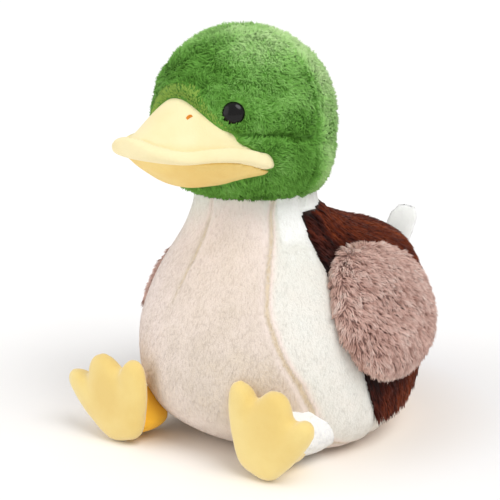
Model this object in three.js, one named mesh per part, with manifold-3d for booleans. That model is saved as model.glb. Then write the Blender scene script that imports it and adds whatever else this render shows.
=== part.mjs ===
// A sitting plush duck, sewn from fur fabric and filled with fibre, in millimetres.
// +Z is up, the duck faces -Y and its left side is +X. The origin is the middle of the flat seat.
// The trunk and the head are each a skin of sewn panels round a filling. The head turns and nods on
// a firm plug of filling in the neck, the wings fold out at their front seams, and the legs swing.
import * as THREE from "three";
import { mergeVertices } from "three/addons/utils/BufferGeometryUtils.js";
import Module from "manifold-3d";

const wasm = await Module();
wasm.setup();

// Fabric, seams and gaps
const SKIN = 3.6; // fur fabric with its pile pressed flat
const SEAM_GAP = 0.4; // between two panels at their seam
const FILL_GAP = 0.4; // between a skin and its filling
const PAD_GAP = 0.8; // between a stuffed form and a limb that moves on it
const OVERRUN = 40; // how far a cutting solid runs past what it cuts

// Trunk: its reaches run from the axis of the neck
const TRUNK_HALF_WIDTH = 101;
const BELLY_REACH = 99;
const RUMP_REACH = 168;
const NECK_SEAM_HEIGHT = 173;
const NECK_X = -20; // the duck leans a little to its right
const NECK_Y = -28;
const NECK_RADIUS = 46;
const NECK_BALL_RADIUS = 58;
const BASE_SEAM_HEIGHT = 12;
const BREAST_SHIFT = 16; // the breast panel sits a little to the left of the lean

// Neck plug
const PLUG_RADIUS = 36;
const PLUG_STEM_RADIUS = 27;
const PLUG_SHOULDER = 17; // from its rim down to its stem
const PLUG_DEPTH = 14; // of the stem, under the centre of the ball

// Head, upright on the axis of the neck
const HEAD_HALF_WIDTH = 66.5;
const HEAD_FRONT_REACH = 65;
const HEAD_BACK_REACH = 66;
const HEAD_HEIGHT = 123; // from the neck seam to the crown
const HEAD_FORWARD = 12; // of the middle of the head before the neck
const HEAD_TURN = 8; // degrees, to its right
const CHEEK_SEAM_HEIGHT = 46; // above the neck seam

// Bill: its reaches run from the axis of the neck, and its heights from the neck seam
const BILL_REACH = 121;
const BILL_ROOT_REACH = 24; // inside the head, where its sections start
const BILL_HALF_WIDTH = 60;
const BILL_LIP_HEIGHT = 35;
const BILL_TIP_LIFT = 10;
const BILL_RIDGE = 40; // rise of the ridge over the lip, at the root
const BILL_LIP = 9; // thickness of the rolled lip
const BILL_CHIN = 19; // depth of the lower bill, at the root
const BILL_SEAT_GAP = 0.5;
const STITCH_LENGTH = 7;
const STITCH_WIDTH = 3.4;
const STITCH_THICKNESS = 2.2;
const STITCH_REACH_SHARE = 0.375; // of the way along the bill
const STITCH_TURN_SHARE = 0.185; // of a turn round the bill's section, from its left edge up

// Safety eyes
const EYE_RADIUS = 8;
const EYE_DOME = 4.6;
const EYE_STEM_RADIUS = 2.2;
const EYE_STEM_LENGTH = 17;
const EYE_RIDGE = 0.35; // how far a ridge stands out of the stem
const EYE_RIDGE_PITCH = 2.6;
const EYE_AZIMUTH = 40.5; // degrees from straight ahead
const EYE_HEIGHT = 70; // above the neck seam
const EYE_SEAT_GAP = 0.35;
const EYE_SINK = 2; // the washer pulls the eye into a dimple
const WASHER_RADIUS = 9;
const WASHER_THICKNESS = 1.2;
const WASHER_DISH = 1.6;
const WASHER_TEETH = 8;
const WASHER_TOOTH = 2.4;
const WASHER_SEAT_GAP = 2; // a flat washer behind a skin that curves
const WASHER_BORE_GAP = 0.3;

// Wings
const WING_LENGTH = 126; // round the side of the trunk
const WING_HEIGHT = 95;
const WING_THICKNESS = 17;
const WING_LINING = 5;
const WING_AZIMUTH = 97; // degrees from straight ahead, at the middle of the wing
const WING_MIDDLE_HEIGHT = 91;

// Legs
const HIP_RADIUS = 26;
const HIP_GAP = 1.2;
const HIP_SHARE = 0.594; // of the trunk's half width, out from the middle of the two hips
const HIP_SHIFT = -5; // of that middle, to the duck's right
const HIP_Y = -74;
const HIP_STAGGER = 16; // how far the right hip is before the left
const HIP_HEIGHT = 27.5;
const HIP_TURN = 110; // degrees of its ball that a thigh keeps, from the back
const THIGH_LENGTH = 30; // from the hip's centre to the ankle seam
const ANKLE_RADIUS = 17;
const ANKLE_LENGTH = 12;
const LEG_DROP = 25; // degrees that a leg can hang down
const FOOT_HEIGHT = 67;
const FOOT_HALF_WIDTH = 35;
const FOOT_THICKNESS = 17;
const FOOT_SPLAY = 18; // degrees that the toes lean out
const FOOT_YAW = 5; // degrees that both soles turn to the duck's left
const FOOT_ROOT_GAP = 0.4;

// Tail
const TAIL_WIDTH = 25;
const TAIL_LENGTH = 44;
const TAIL_THICKNESS = 9.5;
const TAIL_ROOT = 14; // of its length is buried in the rump
const TAIL_HEIGHT = 118;
const TAIL_LEAN = 32; // degrees back from upright

// Facets
const TRUNK_SIDES = 24;
const TRUNK_RINGS = 14;
const HEAD_SIDES = 24;
const HEAD_RINGS = 12;
const BALL_SIDES = 32;
const ROUND_SIDES = 16;
const SWEEP_STEPS = 2;
const HIP_STEPS = 8;
const WING_STEPS = 4;
const PLUG_STEPS = 4;
const SEAM_STEPS = 8;
const BILL_SIDES = 18;
const BILL_SECTIONS = 10;
const WING_SIDES = 18;
const FOOT_STEPS = 32;
const EDGE_STEPS = 3;
const TAIL_SECTIONS = 6;
const HALVINGS = 30;
const SMALL_STEP = 0.02;
const MERGE_DISTANCE = 1e-4;

// Rows of shares: height, half width, belly reach, rump reach, and how square the back half is
const trunkShares = [
  [0, 0.56, 0.44, 0.56, 1],
  [0.02, 0.7, 0.58, 0.64, 1],
  [0.08, 0.85, 0.78, 0.72, 1],
  [0.17, 0.95, 0.93, 0.79, 1],
  [0.3, 1, 1, 0.87, 1],
  [0.45, 0.98, 0.96, 0.95, 0.96],
  [0.58, 0.89, 0.86, 1, 0.9],
  [0.69, 0.78, 0.75, 0.99, 0.84],
  [0.78, 0.67, 0.65, 0.83, 0.84],
  [0.86, 0.57, 0.56, 0.55, 0.9],
  [0.93, 0.505, 0.505, 0.34, 0.95],
  [1, 0.455, 0.465, 0.274, 1],
  [1.08, 0.455, 0.465, 0.274, 1],
];
// Height, half width, front reach, back reach, and how far the middle has come forward
const headShares = [
  [-0.06, 0.68, 0.7, 0.69, 0],
  [0, 0.7, 0.72, 0.71, 0],
  [0.06, 0.83, 0.83, 0.81, 0.25],
  [0.14, 0.93, 0.92, 0.9, 0.5],
  [0.26, 0.99, 0.98, 0.97, 0.8],
  [0.4, 1, 1, 1, 1],
  [0.55, 0.98, 0.98, 0.98, 1],
  [0.7, 0.9, 0.9, 0.9, 1],
  [0.83, 0.735, 0.735, 0.74, 1],
  [0.93, 0.5, 0.5, 0.5, 1],
  [0.985, 0.25, 0.25, 0.25, 1],
  [1, 0.06, 0.06, 0.06, 1],
];
// Reach, half width, ridge, chin, lip thickness and lift of the mouth, from root to tip
const billShares = [
  [0, 0.98, 1.06, 0.3, 0.9, -0.25],
  [0.2, 1, 1.04, 0.36, 0.95, -0.1],
  [0.4, 0.95, 0.96, 0.62, 1, 0.1],
  [0.58, 0.82, 0.68, 0.84, 1, 0.35],
  [0.74, 0.67, 0.42, 0.62, 1, 0.6],
  [0.88, 0.5, 0.24, 0.3, 0.98, 0.85],
  [0.96, 0.36, 0.12, 0.1, 0.9, 0.98],
  [0.99, 0.24, 0.06, 0.04, 0.7, 1],
  [1, 0.1, 0.02, 0, 0.4, 1],
];
// Side view of the back panel's front edge: back from the neck's axis, and height
const backSeamShares = [
  [0.1, 1.1],
  [0.06, 0.97],
  [-0.07, 0.89],
  [-0.11, 0.77],
  [-0.16, 0.6],
  [-0.15, 0.41],
  [-0.08, 0.26],
  [0, 0.1],
  [0.08, -0.1],
];
// Front view of the breast panel: half its width, and height
const breastSeamShares = [
  [0.2, 1.1],
  [0.2, 0.97],
  [0.27, 0.8],
  [0.36, 0.62],
  [0.48, 0.48],
  [0.58, 0.36],
  [0.62, 0.26],
  [0.6, -0.1],
];
// One half of a foot, from the heel round to the middle toe: out, and up
const footShares = [
  [0.2, 0],
  [0.44, 0.04],
  [0.66, 0.17],
  [0.83, 0.36],
  [0.97, 0.54],
  [1, 0.68],
  [0.93, 0.79],
  [0.78, 0.83],
  [0.62, 0.79],
  [0.5, 0.75],
  [0.45, 0.86],
  [0.34, 0.96],
  [0.14, 1],
];
// A foot's rings from its middle out to the rim: size of the outline, and how thick
const footDomeShares = [
  [0.3, 1],
  [0.62, 0.95],
  [0.87, 0.72],
  [1, 0.25],
];
// Where the wing's lining and cover meet, from the rim inwards
const wingSeamShares = [0.97, 0.6, 0.25];
const WING_TOP_SHARE = 0.2;
// Tail sections: along, width and thickness
const tailShares = [
  [0, 0.8, 0.9],
  [0.3, 0.94, 1],
  [0.6, 1, 0.96],
  [0.8, 0.94, 0.8],
  [0.94, 0.7, 0.52],
  [1, 0.4, 0.2],
];
const CROWN_SHARE = 2.1; // how full the bill's sections are
const MOUTH_SHARE = 0.94; // of the upper bill's width is the lower's
const ANKLE_TAPER_SHARE = 0.9;
const TRUNK_SHOULDER_SHARE = 0.7;

// Materials
const cloth = (color) => new THREE.MeshStandardMaterial({ color, roughness: 0.95, metalness: 0 });
const CREAM = "#f1ece0";
const BROWN = "#4b2118";
const GREEN = "#4c9a3c";
const TAUPE = "#a58a80";
const YELLOW = "#f6e3a0";
const ORANGE = "#d98a3a";
const FIBRE = "#f4f4f2";
const gloss = new THREE.MeshStandardMaterial({ color: "#0c0c0e", roughness: 0.08, metalness: 0 });
const nylon = new THREE.MeshStandardMaterial({ color: "#e8e8e4", roughness: 0.45, metalness: 0 });

const radians = THREE.MathUtils.degToRad;
const duck = new THREE.Group();
const sides = [
  { name: "left", sign: 1 },
  { name: "right", sign: -1 },
];

// A smooth curve through one column of a table, at a place counted in rows
function columnAt(rows, column, place) {
  const row = THREE.MathUtils.clamp(Math.floor(place), 0, rows.length - 2);
  const share = place - row;
  const value = (offset) => rows[THREE.MathUtils.clamp(row + offset, 0, rows.length - 1)][column];
  const slopeIn = (value(1) - value(-1)) / 2;
  const slopeOut = (value(2) - value(0)) / 2;
  const rise = value(0) - value(1);
  const cubic = 2 * rise + slopeIn + slopeOut;
  const square = -3 * rise - 2 * slopeIn - slopeOut;
  return ((cubic * share + square) * share + slopeIn) * share + value(0);
}

// The place in a table whose first column reaches a value, found by halving
function placeOf(rows, wanted) {
  let low = 0;
  let high = rows.length - 1;
  for (let step = 0; step < HALVINGS; step += 1) {
    const middle = (low + high) / 2;
    if (columnAt(rows, 0, middle) < wanted) low = middle;
    else high = middle;
  }
  return low;
}

// A closed skin over rings of points, with a fan over each end
function loft(rings) {
  const count = rings[0].length;
  const points = rings.flat();
  const triangles = [];
  for (let ring = 0; ring < rings.length - 1; ring += 1) {
    for (let side = 0; side < count; side += 1) {
      const next = (side + 1) % count;
      const low = ring * count;
      const high = low + count;
      triangles.push(low + side, low + next, high + next);
      triangles.push(low + side, high + next, high + side);
    }
  }
  const ends = [
    { start: 0, flip: true },
    { start: (rings.length - 1) * count, flip: false },
  ];
  for (const { start, flip } of ends) {
    const middle = new THREE.Vector3();
    for (let side = 0; side < count; side += 1) {
      middle.addScaledVector(points[start + side], 1 / count);
    }
    points.push(middle);
    for (let side = 0; side < count; side += 1) {
      const next = start + ((side + 1) % count);
      const pair = flip ? [next, start + side] : [start + side, next];
      triangles.push(...pair, points.length - 1);
    }
  }
  const geometry = new THREE.BufferGeometry().setFromPoints(points);
  geometry.setIndex(triangles);
  return geometry;
}

// A loft of a form whose points are given by a place in its table and an angle round it
function loftOf(pointAt, rows, ringCount, sideCount) {
  const rings = [];
  for (let ring = 0; ring <= ringCount; ring += 1) {
    const place = (ring / ringCount) * (rows.length - 1);
    const points = [];
    for (let side = 0; side < sideCount; side += 1) {
      points.push(pointAt(place, (side / sideCount) * Math.PI * 2));
    }
    rings.push(points);
  }
  return loft(rings);
}

// A place on such a form: the point, and the direction straight out of the skin there
function skinAt(pointAt, place, angle) {
  const at = pointAt(place, angle);
  const round = pointAt(place, angle + SMALL_STEP).sub(pointAt(place, angle - SMALL_STEP));
  const up = pointAt(place + SMALL_STEP, angle).sub(pointAt(place - SMALL_STEP, angle));
  return { at, round: round.normalize(), outward: round.clone().cross(up).normalize() };
}

// A form made along +Z, turned to face straight out of a skin and set there
function setOn(geometry, { at, outward, round }, lift) {
  const up = new THREE.Vector3().crossVectors(outward, round);
  const turn = new THREE.Matrix4().makeBasis(round, up, outward);
  const from = at.clone().addScaledVector(outward, lift);
  return geometry.applyMatrix4(turn).translate(from.x, from.y, from.z);
}

// Every point of a form moved inwards along its normal
function shrunk(geometry, distance) {
  const moved = geometry.clone();
  moved.computeVertexNormals();
  const position = moved.getAttribute("position");
  const normal = moved.getAttribute("normal");
  for (let index = 0; index < position.count; index += 1) {
    const point = new THREE.Vector3().fromBufferAttribute(position, index);
    point.addScaledVector(new THREE.Vector3().fromBufferAttribute(normal, index), -distance);
    position.setXYZ(index, point.x, point.y, point.z);
  }
  return moved;
}

// A geometry as a solid that can be joined and cut, its faces turned outwards
function solidOf(geometry) {
  const bare = geometry.clone();
  bare.deleteAttribute("normal");
  bare.deleteAttribute("uv");
  const merged = mergeVertices(bare, MERGE_DISTANCE);
  const triVerts = new Uint32Array(merged.index.array);
  const vertProperties = new Float32Array(merged.getAttribute("position").array);
  const made = new wasm.Manifold(new wasm.Mesh({ numProp: 3, vertProperties, triVerts }));
  if (made.volume() > 0) return made;
  for (let index = 0; index < triVerts.length; index += 3) {
    [triVerts[index + 1], triVerts[index + 2]] = [triVerts[index + 2], triVerts[index + 1]];
  }
  return new wasm.Manifold(new wasm.Mesh({ numProp: 3, vertProperties, triVerts }));
}

// The largest body of a solid, without the slivers that a cut along facets can leave
function wholeOf(solid) {
  const bodies = solid.decompose();
  return bodies.reduce((largest, body) => (body.volume() > largest.volume() ? body : largest));
}

function addPiece(name, solid, material) {
  const made = wholeOf(solid).getMesh();
  const geometry = new THREE.BufferGeometry();
  const position = new THREE.BufferAttribute(new Float32Array(made.vertProperties), 3);
  geometry.setAttribute("position", position);
  geometry.setIndex(new THREE.BufferAttribute(new Uint32Array(made.triVerts), 1));
  const mesh = new THREE.Mesh(geometry, material);
  mesh.name = name;
  duck.add(mesh);
}

// Simple cutting solids
const WIDE = TRUNK_HALF_WIDTH + RUMP_REACH + OVERRUN;
const TALL = NECK_SEAM_HEIGHT + HEAD_HEIGHT + OVERRUN;
function boxBetween(low, high) {
  const size = new THREE.Vector3().subVectors(high, low);
  const middle = new THREE.Vector3().addVectors(low, high).divideScalar(2);
  return new THREE.BoxGeometry(size.x, size.y, size.z).translate(middle.x, middle.y, middle.z);
}
const boxBelow = (height) =>
  boxBetween(new THREE.Vector3(-WIDE, -WIDE, -TALL), new THREE.Vector3(WIDE, WIDE, height));
const boxBehind = (reach) =>
  boxBetween(new THREE.Vector3(-WIDE, reach, -TALL), new THREE.Vector3(WIDE, WIDE, TALL));
const leftHalf = solidOf(
  boxBetween(new THREE.Vector3(0, -WIDE, -TALL), new THREE.Vector3(WIDE, WIDE, TALL)),
);

// The ball of the neck, on which the head turns and nods
const BALL_DROP = Math.sqrt(NECK_BALL_RADIUS ** 2 - NECK_RADIUS ** 2);
const ballCentre = new THREE.Vector3(NECK_X, NECK_Y, NECK_SEAM_HEIGHT - BALL_DROP);
function ballAt(centre, radius) {
  const sphere = new THREE.SphereGeometry(radius, BALL_SIDES, BALL_SIDES / 2);
  sphere.rotateX(Math.PI / 2);
  return solidOf(sphere.translate(centre.x, centre.y, centre.z));
}

// Trunk: rings round an axis that leans, each squarer behind than in front
function trunkPoint(place, angle) {
  const height = columnAt(trunkShares, 0, place);
  const half = columnAt(trunkShares, 1, place) * TRUNK_HALF_WIDTH;
  const front = Math.cos(angle) > 0;
  const column = front ? 2 : 3;
  const reach = columnAt(trunkShares, column, place) * (front ? BELLY_REACH : RUMP_REACH);
  const fullness = front ? 1 : columnAt(trunkShares, 4, place);
  const across = Math.sign(Math.sin(angle)) * Math.abs(Math.sin(angle)) ** (1 / fullness) * half;
  const lean = Math.min(height, 1) * NECK_X;
  return new THREE.Vector3(lean + across, NECK_Y - Math.cos(angle) * reach, height * NECK_SEAM_HEIGHT);
}
const trunkLoft = loftOf(trunkPoint, trunkShares, TRUNK_RINGS, TRUNK_SIDES);
const SHOULDER_HEIGHT = NECK_SEAM_HEIGHT - (NECK_BALL_RADIUS - NECK_RADIUS) * TRUNK_SHOULDER_SHARE;
function trunkForm(inset) {
  const kept = ballAt(ballCentre, NECK_BALL_RADIUS - inset).add(solidOf(boxBelow(SHOULDER_HEIGHT - inset)));
  return solidOf(shrunk(trunkLoft, inset)).intersect(kept);
}
const trunkOuter = trunkForm(0);
const trunkClear = trunkForm(-PAD_GAP);

// The plug of firm filling that joins the head to the trunk: a stem under a cap of the ball
function plugForm(gap) {
  const cap = NECK_BALL_RADIUS + gap;
  const rim = PLUG_RADIUS + gap;
  const rimHeight = Math.sqrt(cap ** 2 - rim ** 2);
  const stem = PLUG_STEM_RADIUS + gap;
  const points = [
    new THREE.Vector2(0, -PLUG_DEPTH - gap),
    new THREE.Vector2(stem, -PLUG_DEPTH - gap),
    new THREE.Vector2(stem, rimHeight - PLUG_SHOULDER - gap),
  ];
  for (let step = 0; step <= PLUG_STEPS; step += 1) {
    const polar = Math.asin(rim / cap) * (1 - step / PLUG_STEPS);
    points.push(new THREE.Vector2(cap * Math.sin(polar), cap * Math.cos(polar)));
  }
  points[points.length - 1].x = 0;
  const plug = new THREE.LatheGeometry(points, BALL_SIDES);
  plug.rotateX(Math.PI / 2);
  return solidOf(plug.translate(ballCentre.x, ballCentre.y, ballCentre.z));
}
const plugSocket = plugForm(PAD_GAP);

// A leg hangs from a ball at the hip. The trunk is cut clear of it all the way through its swing.
function hipCentre(sign) {
  const across = HIP_SHIFT + sign * HIP_SHARE * TRUNK_HALF_WIDTH;
  return new THREE.Vector3(across, HIP_Y + (sign * HIP_STAGGER) / 2, HIP_HEIGHT);
}
function hipArc(radius, lastTurn) {
  const points = [];
  for (let step = 0; step <= HIP_STEPS; step += 1) {
    const turn = (step / HIP_STEPS) * lastTurn;
    points.push(new THREE.Vector2(radius * Math.sin(turn), -radius * Math.cos(turn)));
  }
  points[0].x = 0;
  return points;
}
function legSweep(sign) {
  const hip = hipCentre(sign);
  const place = (geometry) => solidOf(geometry.translate(hip.x, hip.y, hip.z));
  const ball = hipArc(HIP_RADIUS + HIP_GAP, Math.PI);
  ball[HIP_STEPS].x = 0;
  let swept = place(new THREE.LatheGeometry(ball, ROUND_SIDES));
  const length = THIGH_LENGTH + ANKLE_LENGTH;
  for (let step = 0; step <= SWEEP_STEPS; step += 1) {
    const drop = (step / SWEEP_STEPS) * radians(LEG_DROP);
    const radii = [ANKLE_RADIUS + HIP_GAP, HIP_RADIUS + HIP_GAP];
    const cone = new THREE.CylinderGeometry(...radii, length, ROUND_SIDES);
    cone.translate(0, length / 2, 0).rotateX(Math.PI + drop);
    swept = swept.add(place(cone));
  }
  return swept;
}
const hipSockets = legSweep(1).add(legSweep(-1));

// A seam is a curve seen from the side or the front, pulled straight through the trunk
function pulledThrough(points, turn) {
  const wall = new THREE.ExtrudeGeometry(new THREE.Shape(points), { depth: 2 * WIDE, bevelEnabled: false });
  wall.translate(0, 0, -WIDE).rotateX(Math.PI / 2);
  return solidOf(turn ? wall.rotateZ(Math.PI / 2) : wall);
}
function backRegion(gap) {
  const seam = backSeamShares.map(
    ([along, height]) => new THREE.Vector2(NECK_Y + along * RUMP_REACH + gap, height * NECK_SEAM_HEIGHT),
  );
  const points = new THREE.SplineCurve(seam).getPoints(SEAM_STEPS);
  points.push(new THREE.Vector2(WIDE, points[points.length - 1].y));
  points.push(new THREE.Vector2(WIDE, points[0].y));
  return pulledThrough(points, true);
}
const breastMiddle = (height) => NECK_X * height + BREAST_SHIFT;
function breastRegion(gap) {
  const seamOn = (sign) => {
    const seam = breastSeamShares.map(
      ([across, height]) =>
        new THREE.Vector2(
          breastMiddle(height) + sign * (across * TRUNK_HALF_WIDTH + gap),
          height * NECK_SEAM_HEIGHT,
        ),
    );
    return new THREE.SplineCurve(seam).getPoints(SEAM_STEPS);
  };
  return pulledThrough([...seamOn(1), ...seamOn(-1).reverse()], false).subtract(solidOf(boxBehind(NECK_Y)));
}

function buildTrunk() {
  const skin = trunkOuter.subtract(trunkForm(SKIN)).subtract(plugSocket).subtract(hipSockets);
  const upper = skin.subtract(solidOf(boxBelow(BASE_SEAM_HEIGHT + SEAM_GAP)));
  const front = upper.subtract(backRegion(-SEAM_GAP));
  const flanks = front.subtract(breastRegion(SEAM_GAP));
  addPiece("base_panel", skin.intersect(solidOf(boxBelow(BASE_SEAM_HEIGHT))), cloth(CREAM));
  addPiece("breast_panel", front.intersect(breastRegion(0)), cloth(CREAM));
  addPiece("back_panel", upper.intersect(backRegion(0)), cloth(BROWN));
  addPiece("flank_panel_left", flanks.intersect(leftHalf), cloth(CREAM));
  addPiece("flank_panel_right", flanks.subtract(leftHalf), cloth(CREAM));
  const core = trunkForm(SKIN + FILL_GAP).subtract(plugSocket).subtract(hipSockets);
  addPiece("trunk_filling", core, cloth(FIBRE));
  addPiece("neck_filling", plugForm(0), cloth(FIBRE));
}

// Tail: a stuffed tab sewn to the rump
function buildTail() {
  const rump = skinAt(trunkPoint, placeOf(trunkShares, TAIL_HEIGHT / NECK_SEAM_HEIGHT), Math.PI).at;
  const tabPoint = (place, angle) =>
    new THREE.Vector3(
      (Math.sin(angle) * columnAt(tailShares, 1, place) * TAIL_WIDTH) / 2,
      (-Math.cos(angle) * columnAt(tailShares, 2, place) * TAIL_THICKNESS) / 2,
      columnAt(tailShares, 0, place) * TAIL_LENGTH - TAIL_ROOT,
    );
  const tab = loftOf(tabPoint, tailShares, TAIL_SECTIONS, ROUND_SIDES);
  tab.rotateX(-radians(TAIL_LEAN)).translate(0, rump.y, rump.z);
  addPiece("tail", solidOf(tab).subtract(trunkForm(-SEAM_GAP)), cloth(CREAM));
}

// Wings: pads that hug the side of the trunk, each a lining under a domed cover
function wingRing(sign, radiusShare, lift) {
  const points = [];
  for (let side = 0; side < WING_SIDES; side += 1) {
    const turn = (side / WING_SIDES) * Math.PI * 2;
    const height = WING_MIDDLE_HEIGHT + (Math.sin(turn) * radiusShare * WING_HEIGHT) / 2;
    const place = placeOf(trunkShares, height / NECK_SEAM_HEIGHT);
    const across = (Math.cos(turn) * radiusShare * WING_LENGTH) / 2;
    const girth = (columnAt(trunkShares, 1, place) * TRUNK_HALF_WIDTH + RUMP_REACH) / 2;
    const angle = sign * (radians(WING_AZIMUTH) + across / girth);
    const { at, outward } = skinAt(trunkPoint, place, angle);
    points.push(at.addScaledVector(outward, lift));
  }
  return points;
}
function buildWing({ name, sign }) {
  const ring = (radiusShare, lift) => wingRing(sign, radiusShare, lift);
  const dome = WING_THICKNESS - WING_LINING;
  const lining = [ring(1, -WING_LINING), ring(1, WING_LINING / 2)];
  wingSeamShares.forEach((share) => lining.push(ring(share, WING_LINING)));
  const floor = WING_LINING + SEAM_GAP;
  const cover = wingSeamShares.map((share) => ring(share, floor)).reverse();
  for (let step = 0; step <= WING_STEPS; step += 1) {
    const rise = (step / WING_STEPS) * (Math.PI / 2);
    const share = Math.max(Math.cos(rise), WING_TOP_SHARE);
    cover.push(ring(share, floor + SEAM_GAP + dome * Math.sin(rise)));
  }
  addPiece(`wing_${name}_lining`, solidOf(loft(lining)).subtract(trunkClear), cloth(TAUPE));
  addPiece(`wing_${name}_cover`, solidOf(loft(cover)), cloth(TAUPE));
}

// Legs: a white thigh with a ball at the hip, a yellow ankle, and a stuffed foot on its heel
const heelHalf = footShares.map(([out, up]) => new THREE.Vector2(out * FOOT_HALF_WIDTH, up * FOOT_HEIGHT));
const toeHalf = heelHalf.map((point) => new THREE.Vector2(-point.x, point.y)).reverse();
const footCurve = new THREE.SplineCurve([...heelHalf, ...toeHalf, heelHalf[0].clone()]);
const footOutline = footCurve.getSpacedPoints(FOOT_STEPS).slice(0, FOOT_STEPS);
function footRing(outlineShare, lift) {
  return footOutline.map((point) => {
    const height = FOOT_HEIGHT / 2 + outlineShare * (point.y - FOOT_HEIGHT / 2);
    return new THREE.Vector3(outlineShare * point.x, lift, height);
  });
}
function footPad() {
  const lift = (side, rise) => (side * rise * FOOT_THICKNESS) / 2;
  const half = (side) => footDomeShares.map(([size, rise]) => footRing(size, lift(side, rise)));
  return loft([...half(1), ...half(-1).reverse()]);
}
function buildLeg({ name, sign }) {
  const hip = hipCentre(sign);
  const place = (geometry) => solidOf(geometry.translate(hip.x, hip.y, hip.z));
  const thighProfile = hipArc(HIP_RADIUS, radians(HIP_TURN));
  thighProfile.push(new THREE.Vector2(ANKLE_RADIUS, THIGH_LENGTH), new THREE.Vector2(0, THIGH_LENGTH));
  const thigh = new THREE.LatheGeometry(thighProfile, ROUND_SIDES).rotateX(Math.PI);
  const start = THIGH_LENGTH + FOOT_ROOT_GAP;
  const end = start + ANKLE_LENGTH;
  const ankleProfile = [
    new THREE.Vector2(0, start),
    new THREE.Vector2(ANKLE_RADIUS, start),
    new THREE.Vector2(ANKLE_RADIUS * ANKLE_TAPER_SHARE, end),
    new THREE.Vector2(ANKLE_RADIUS * ANKLE_TAPER_SHARE, end + FOOT_THICKNESS / 2),
    new THREE.Vector2(0, end + FOOT_THICKNESS / 2),
  ];
  const ankle = new THREE.LatheGeometry(ankleProfile, ROUND_SIDES).rotateX(Math.PI);
  const middle = -(end + FOOT_ROOT_GAP + FOOT_THICKNESS / 2);
  const behind = (reach) => place(boxBehind(reach).rotateZ(radians(FOOT_YAW)).translate(0, middle, 0));
  const backFace = behind(FOOT_THICKNESS / 2 + FOOT_ROOT_GAP);
  addPiece(`thigh_${name}`, place(thigh), cloth(CREAM));
  addPiece(`ankle_${name}`, place(ankle).intersect(backFace).subtract(trunkClear), cloth(YELLOW));
  const pad = footPad().rotateY(sign * radians(FOOT_SPLAY)).rotateZ(radians(FOOT_YAW));
  pad.computeBoundingBox();
  pad.translate(0, middle, -HIP_HEIGHT - pad.boundingBox.min.z);
  const foot = place(pad).subtract(trunkClear);
  addPiece(`foot_${name}_upper`, foot.intersect(behind(SEAM_GAP / 2)), cloth(YELLOW));
  addPiece(`foot_${name}_sole`, foot.subtract(behind(-SEAM_GAP / 2)), cloth(YELLOW));
}

// Head: made looking straight ahead from the middle of its neck seam, then turned and set down
function headPoint(place, angle) {
  const height = columnAt(headShares, 0, place) * HEAD_HEIGHT;
  const half = columnAt(headShares, 1, place) * HEAD_HALF_WIDTH;
  const front = columnAt(headShares, 2, place) * HEAD_FRONT_REACH;
  const back = columnAt(headShares, 3, place) * HEAD_BACK_REACH;
  const forward = columnAt(headShares, 4, place) * HEAD_FORWARD;
  const along = Math.cos(angle) * (Math.cos(angle) > 0 ? front : back);
  return new THREE.Vector3(Math.sin(angle) * half, -along - forward, height);
}
function placeHead(geometry) {
  return solidOf(geometry.rotateZ(-radians(HEAD_TURN)).translate(NECK_X, NECK_Y, NECK_SEAM_HEIGHT));
}
const headLoft = loftOf(headPoint, headShares, HEAD_RINGS, HEAD_SIDES);
const headForm = (inset) => placeHead(shrunk(headLoft, inset));
const neckSocket = ballAt(ballCentre, NECK_BALL_RADIUS + PAD_GAP);

// A moulded eye: a dome over a ridged stem that a toothed washer locks behind the cloth
function eyeProfile() {
  const points = [new THREE.Vector2(0, -EYE_STEM_LENGTH)];
  points.push(new THREE.Vector2(EYE_STEM_RADIUS - EYE_RIDGE, -EYE_STEM_LENGTH));
  const ridges = Math.floor((EYE_STEM_LENGTH - SKIN) / EYE_RIDGE_PITCH);
  for (let ridge = 0; ridge < ridges; ridge += 1) {
    const height = -EYE_STEM_LENGTH + (ridge + 1) * EYE_RIDGE_PITCH;
    points.push(new THREE.Vector2(EYE_STEM_RADIUS + EYE_RIDGE, height - EYE_RIDGE));
    points.push(new THREE.Vector2(EYE_STEM_RADIUS, height));
  }
  points.push(new THREE.Vector2(EYE_STEM_RADIUS, 0), new THREE.Vector2(EYE_RADIUS - EYE_RIDGE, 0));
  for (let step = 0; step <= EDGE_STEPS * 2; step += 1) {
    const turn = (step / (EDGE_STEPS * 2)) * (Math.PI / 2);
    const height = EYE_RIDGE + (EYE_DOME - EYE_RIDGE) * Math.sin(turn);
    points.push(new THREE.Vector2(EYE_RADIUS * Math.cos(turn), height));
  }
  points[points.length - 1].x = 0;
  return points;
}
function washer() {
  const disc = new THREE.Shape().absarc(0, 0, WASHER_RADIUS, 0, Math.PI * 2);
  const bore = new THREE.Path();
  const tip = EYE_STEM_RADIUS + EYE_RIDGE + WASHER_BORE_GAP;
  const points = WASHER_TEETH * 4;
  for (let point = 0; point < points; point += 1) {
    const turn = (point / points) * Math.PI * 2;
    const radius = point % 4 < 2 ? tip : tip + WASHER_TOOTH;
    const place = [radius * Math.cos(turn), radius * Math.sin(turn)];
    if (point === 0) bore.moveTo(...place);
    else bore.lineTo(...place);
  }
  bore.closePath();
  disc.holes.push(bore);
  const plate = new THREE.ExtrudeGeometry(disc, {
    depth: WASHER_THICKNESS,
    bevelEnabled: false,
    curveSegments: ROUND_SIDES,
  });
  const position = plate.getAttribute("position");
  for (let index = 0; index < position.count; index += 1) {
    const radius = Math.hypot(position.getX(index), position.getY(index));
    const dish = WASHER_DISH * (1 - radius / WASHER_RADIUS);
    position.setZ(index, position.getZ(index) - dish);
  }
  return plate;
}
const eyePlace = (sign) =>
  skinAt(headPoint, placeOf(headShares, EYE_HEIGHT / HEAD_HEIGHT), sign * radians(EYE_AZIMUTH));
const WASHER_LIFT = -(SKIN + WASHER_SEAT_GAP + WASHER_THICKNESS);
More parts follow.
